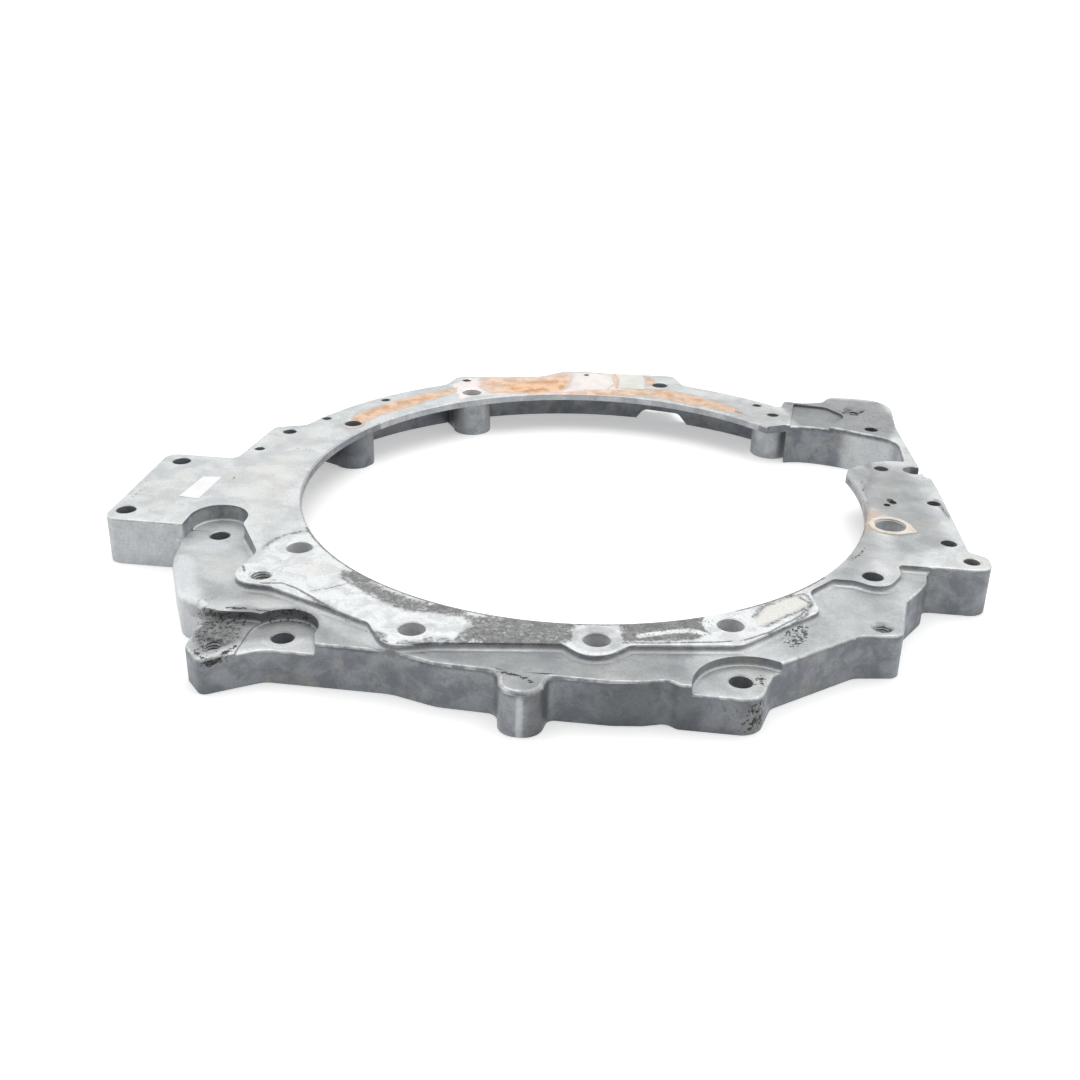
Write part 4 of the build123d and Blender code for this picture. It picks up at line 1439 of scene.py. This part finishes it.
@dataclass(frozen=True)
class DowelSeal:
    """Ring of old sealant round the dowel bore, with an ear on its far side, in millimetres."""

    name: str = "dowel_seal"
    place: Point = at(-8.0, 13.9)
    inner: float = 8.6
    outer: float = 12.0
    thick: float = 0.85
    clear: float = 0.01
    ear: float = 4.0
    ear_angle: float = -25.0
    ear_spread: float = 17.0
    steps: int = 96
    section: tuple[Point, ...] = (
        (0.0, 0.0), (0.04, 0.62), (0.18, 0.92), (0.42, 1.0), (0.66, 0.93), (0.90, 0.58), (1.0, 0.0))

    def build(self, material: bpy.types.Material) -> bpy.types.Object:
        """Makes the ring's piece on the upper joint face.

        Args:
            material: the sealant.

        Returns:
            The piece.
        """
        work = bmesh.new()
        rings = []
        for step in range(self.steps):
            turn = 2 * math.pi * step / self.steps
            off = (math.degrees(turn) - self.ear_angle + 180) % 360 - 180
            reach = self.outer + self.ear * math.exp(-((off / self.ear_spread) ** 2))
            reach += wave(turn, 0.22, 5, 1.0) + wave(turn, 0.12, 11)
            start = self.inner + wave(turn, 0.10, 7, 2.0)
            high = self.thick * (0.86 + wave(turn, 0.14, 3, 0.5))
            loop = []
            for share, rise in self.section:
                radius = start + share * (reach - start)
                loop.append(work.verts.new((
                    (self.place[0] + radius * math.cos(turn)) * MM,
                    (self.place[1] + radius * math.sin(turn)) * MM,
                    (self.clear + high * rise) * MM)))
            rings.append(loop)
        for here, after in zip(rings, rings[1:] + rings[:1]):
            for k in range(len(self.section)):
                m = (k + 1) % len(self.section)
                work.faces.new((here[k], here[m], after[m], after[k]))
        bmesh.ops.recalc_face_normals(work, faces=work.faces)
        return finished(plain_mesh(work, self.name, smooth=True), self.name, material)


@dataclass(frozen=True)
class Lamp:
    """One soft area lamp: its size in metres, its power in watts, its place and its turn."""

    name: str
    size: tuple[float, float]
    power: float
    place: tuple[float, float, float]
    turn: tuple[float, float, float]

    def hang(self) -> None:
        """Puts the lamp in the scene."""
        lamp = bpy.data.lights.new(self.name, "AREA")
        lamp.shape = "RECTANGLE"
        lamp.size, lamp.size_y = self.size
        lamp.energy = self.power
        holder = bpy.data.objects.new(self.name, lamp)
        holder.location = self.place
        holder.rotation_euler = [math.radians(angle) for angle in self.turn]
        bpy.context.scene.collection.objects.link(holder)


@dataclass(frozen=True)
class Studio:
    """Floor, lamps, world and the camera at the photograph's viewing angle, in metres."""

    sensor: float = 36.0
    focal_px: float = 1300.0
    frame_px: float = 1080.0
    clip_start: float = 0.01
    pitch: float = 0.45231
    roll: float = 0.022294
    turn: float = math.radians(7.0)
    eye: tuple[float, float, float] = (0.06248, -0.70860, 0.30924)
    world_light: float = 0.30
    lamps: tuple[Lamp, ...] = (
        Lamp("overhead", (1.7, 1.7), 17.0, (0.0, 0.35, 1.3), (-12.0, 0.0, 0.0)),
        Lamp("side_left", (2.2, 1.6), 11.0, (-1.7, 0.10, 0.70), (68.0, 0.0, -90.0)),
        Lamp("side_right", (2.2, 1.6), 11.0, (1.7, 0.10, 0.70), (68.0, 0.0, 90.0)),
    )
    floor_half: float = 6.0
    floor_gap: float = 0.0002
    floor_seen: Colour = (0.86, 0.86, 0.86)
    floor_bounce: Colour = (0.40, 0.40, 0.40)
    glow_from: tuple[float, float] = (0.45, 0.42)
    glow_to: tuple[float, float] = (1.3, 1.0)

    def camera(self) -> None:
        """Places the camera."""
        data = bpy.data.cameras.new("camera")
        data.sensor_width = self.sensor
        data.lens = self.focal_px / self.frame_px * self.sensor
        data.clip_start = self.clip_start
        right = Vector((1, 0, 0))
        ahead = Vector((0, math.cos(self.pitch), -math.sin(self.pitch)))
        upward = Vector((0, math.sin(self.pitch), math.cos(self.pitch)))
        side = right * math.cos(self.roll) + upward * math.sin(self.roll)
        top = upward * math.cos(self.roll) - right * math.sin(self.roll)
        basis = Matrix((side, top, -ahead)).transposed().to_4x4()
        turned = Matrix.Translation(self.eye) @ Matrix.Rotation(self.turn, 4, "Z")
        camera = bpy.data.objects.new("camera", data)
        camera.matrix_world = turned @ basis
        bpy.context.scene.collection.objects.link(camera)
        bpy.context.scene.camera = camera

    def seen(self, graph: Graph) -> Socket:
        """Tells what the camera sees, straight or in a shine, from what only lights the plate.

        Args:
            graph: the graph to add to.

        Returns:
            Output socket that is 1 where a thing is seen.
        """
        path = graph.add("ShaderNodeLightPath").outputs
        shine = graph.math("MAXIMUM", path["Is Camera Ray"], path["Is Glossy Ray"])
        return graph.math("MAXIMUM", shine, path["Is Transmission Ray"])

    def floor(self) -> None:
        """Lays the pale floor under the plate. It fades to plain white away from it."""
        mesh = bpy.data.meshes.new("floor")
        low = -PLATE_HEIGHT * MM - self.floor_gap
        half = self.floor_half
        corners = [(x * half, y * half, low) for x, y in ((-1, -1), (1, -1), (1, 1), (-1, 1))]
        mesh.from_pydata(corners, [], [(0, 1, 2, 3)])
        floor = bpy.data.objects.new("floor", mesh)
        bpy.context.scene.collection.objects.link(floor)
        made, graph, shader = new_material("floor_white")
        shader.inputs["Roughness"].default_value = 0.9
        shader.inputs["Specular IOR Level"].default_value = 0.0
        seen = self.seen(graph)
        graph.feed(shader.inputs["Base Color"], graph.mix(seen, self.floor_bounce, self.floor_seen))
        place = graph.add("ShaderNodeTexCoord").outputs["Object"]
        away = graph.add("ShaderNodeVectorMath", {0: place}, operation="LENGTH").outputs["Value"]
        (near, dim), (far, full) = self.glow_from, self.glow_to
        glow = graph.between(away, near, far, dim, full)
        shader.inputs["Emission Color"].default_value = (1.0, 1.0, 1.0, 1.0)
        graph.feed(shader.inputs["Emission Strength"], graph.times(seen, glow))
        mesh.materials.append(made)

    def sky(self) -> None:
        """Sets the world's light: white where it is seen, and dimmer for what it lights."""
        world = bpy.data.worlds.new("studio")
        bpy.context.scene.world = world
        world.use_nodes = True
        graph = Graph(world.node_tree)
        back = world.node_tree.nodes["Background"]
        strength = graph.add("ShaderNodeMapRange", {
            "Value": self.seen(graph), "To Min": self.world_light, "To Max": 1.0})
        back.inputs["Color"].default_value = (1.0, 1.0, 1.0, 1.0)
        graph.feed(back.inputs["Strength"], strength.outputs["Result"])

    def build(self) -> None:
        """Sets up the whole studio."""
        bpy.context.scene.view_settings.view_transform = "Standard"
        self.camera()
        self.floor()
        for lamp in self.lamps:
            lamp.hang()
        self.sky()


# The thread metal is dark grey as painted shade inside the tapped holes.
SHADED_THREAD_METAL = PlainFinish("shaded_thread_metal", (0.34, 0.35, 0.36), (0.16, 0.17, 0.17), 400.0, 0.4, 0.7)
PAPER = PlainFinish("blank_paper", (0.91, 0.91, 0.91), (0.87, 0.87, 0.86), 90.0, 0.75, 0.0)
OLD_PAPER = PlainFinish("old_paper", (0.74, 0.76, 0.70), (0.66, 0.68, 0.62), 70.0, 0.8, 0.0)
SEALANT = PlainFinish(
    "old_sealant", (0.80, 0.75, 0.68), (0.70, 0.62, 0.53), 160.0, 0.7, 0.0, 0.0002)
GASKET = PlainFinish(
    "gasket_crumbs", (0.30, 0.295, 0.28), (0.10, 0.10, 0.095), 500.0, 0.85, 0.0)
SOOT = PlainFinish("burnt_oil", (0.06, 0.058, 0.055), (0.02, 0.02, 0.02), 400.0, 0.6, 0.0)
THREADS = (
    Thread("thread_left", at(-136.9, 41.2), 10.2, 1.5, -1.4, 17.0),
    Thread("thread_corner", at(-128.2, 87.6), 8.8, 1.5, -9.9, 13.0),
    Thread("thread_right", at(-40.3, 47.4), 8.8, 1.5, -4.9, 15.0),
)
PAD_LABEL = PaperLabel(
    "label_pad", ((-224.7, -26.0), (-213.4, -24.7), (-215.8, -57.3), (-228.0, -55.2)))
BACK_LABEL = PaperLabel(
    "label_back", ((6.7, 208.5), (21.3, 210.3), (26.1, 180.4), (7.8, 181.0)))
FRONT_CRUMBS = Crumbs("crumbs_front", FRONT_RESIDUE, 0.0, 300000.0, 0.45, 11)
CORNER_CRUMBS = Crumbs("crumbs_corner", CORNER_DIRT, -8.5, 170000.0, 0.42, 23)
APRON_CRUMBS = Crumbs("crumbs_apron", APRON_DIRT, -3.5, 330000.0, 0.50, 31)


def main() -> None:
    """Builds the plate's pieces in order, then the studio."""
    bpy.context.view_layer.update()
    groups = Groups()
    Casting().build(groups)
    ridges, thread_finish = thread_tree(), SHADED_THREAD_METAL.material(groups)
    for thread in THREADS:
        thread.build(ridges, thread_finish)
    PAD_LABEL.build(PAPER.material(groups))
    BACK_LABEL.build(OLD_PAPER.material(groups))
    DowelSeal().build(SEALANT.material(groups))
    scatter, soot = crumb_tree(), SOOT.material(groups)
    FRONT_CRUMBS.build(scatter, GASKET.material(groups))
    CORNER_CRUMBS.build(scatter, soot)
    APRON_CRUMBS.build(scatter, soot)
    Studio().build()


if __name__ == "__main__":
    main()
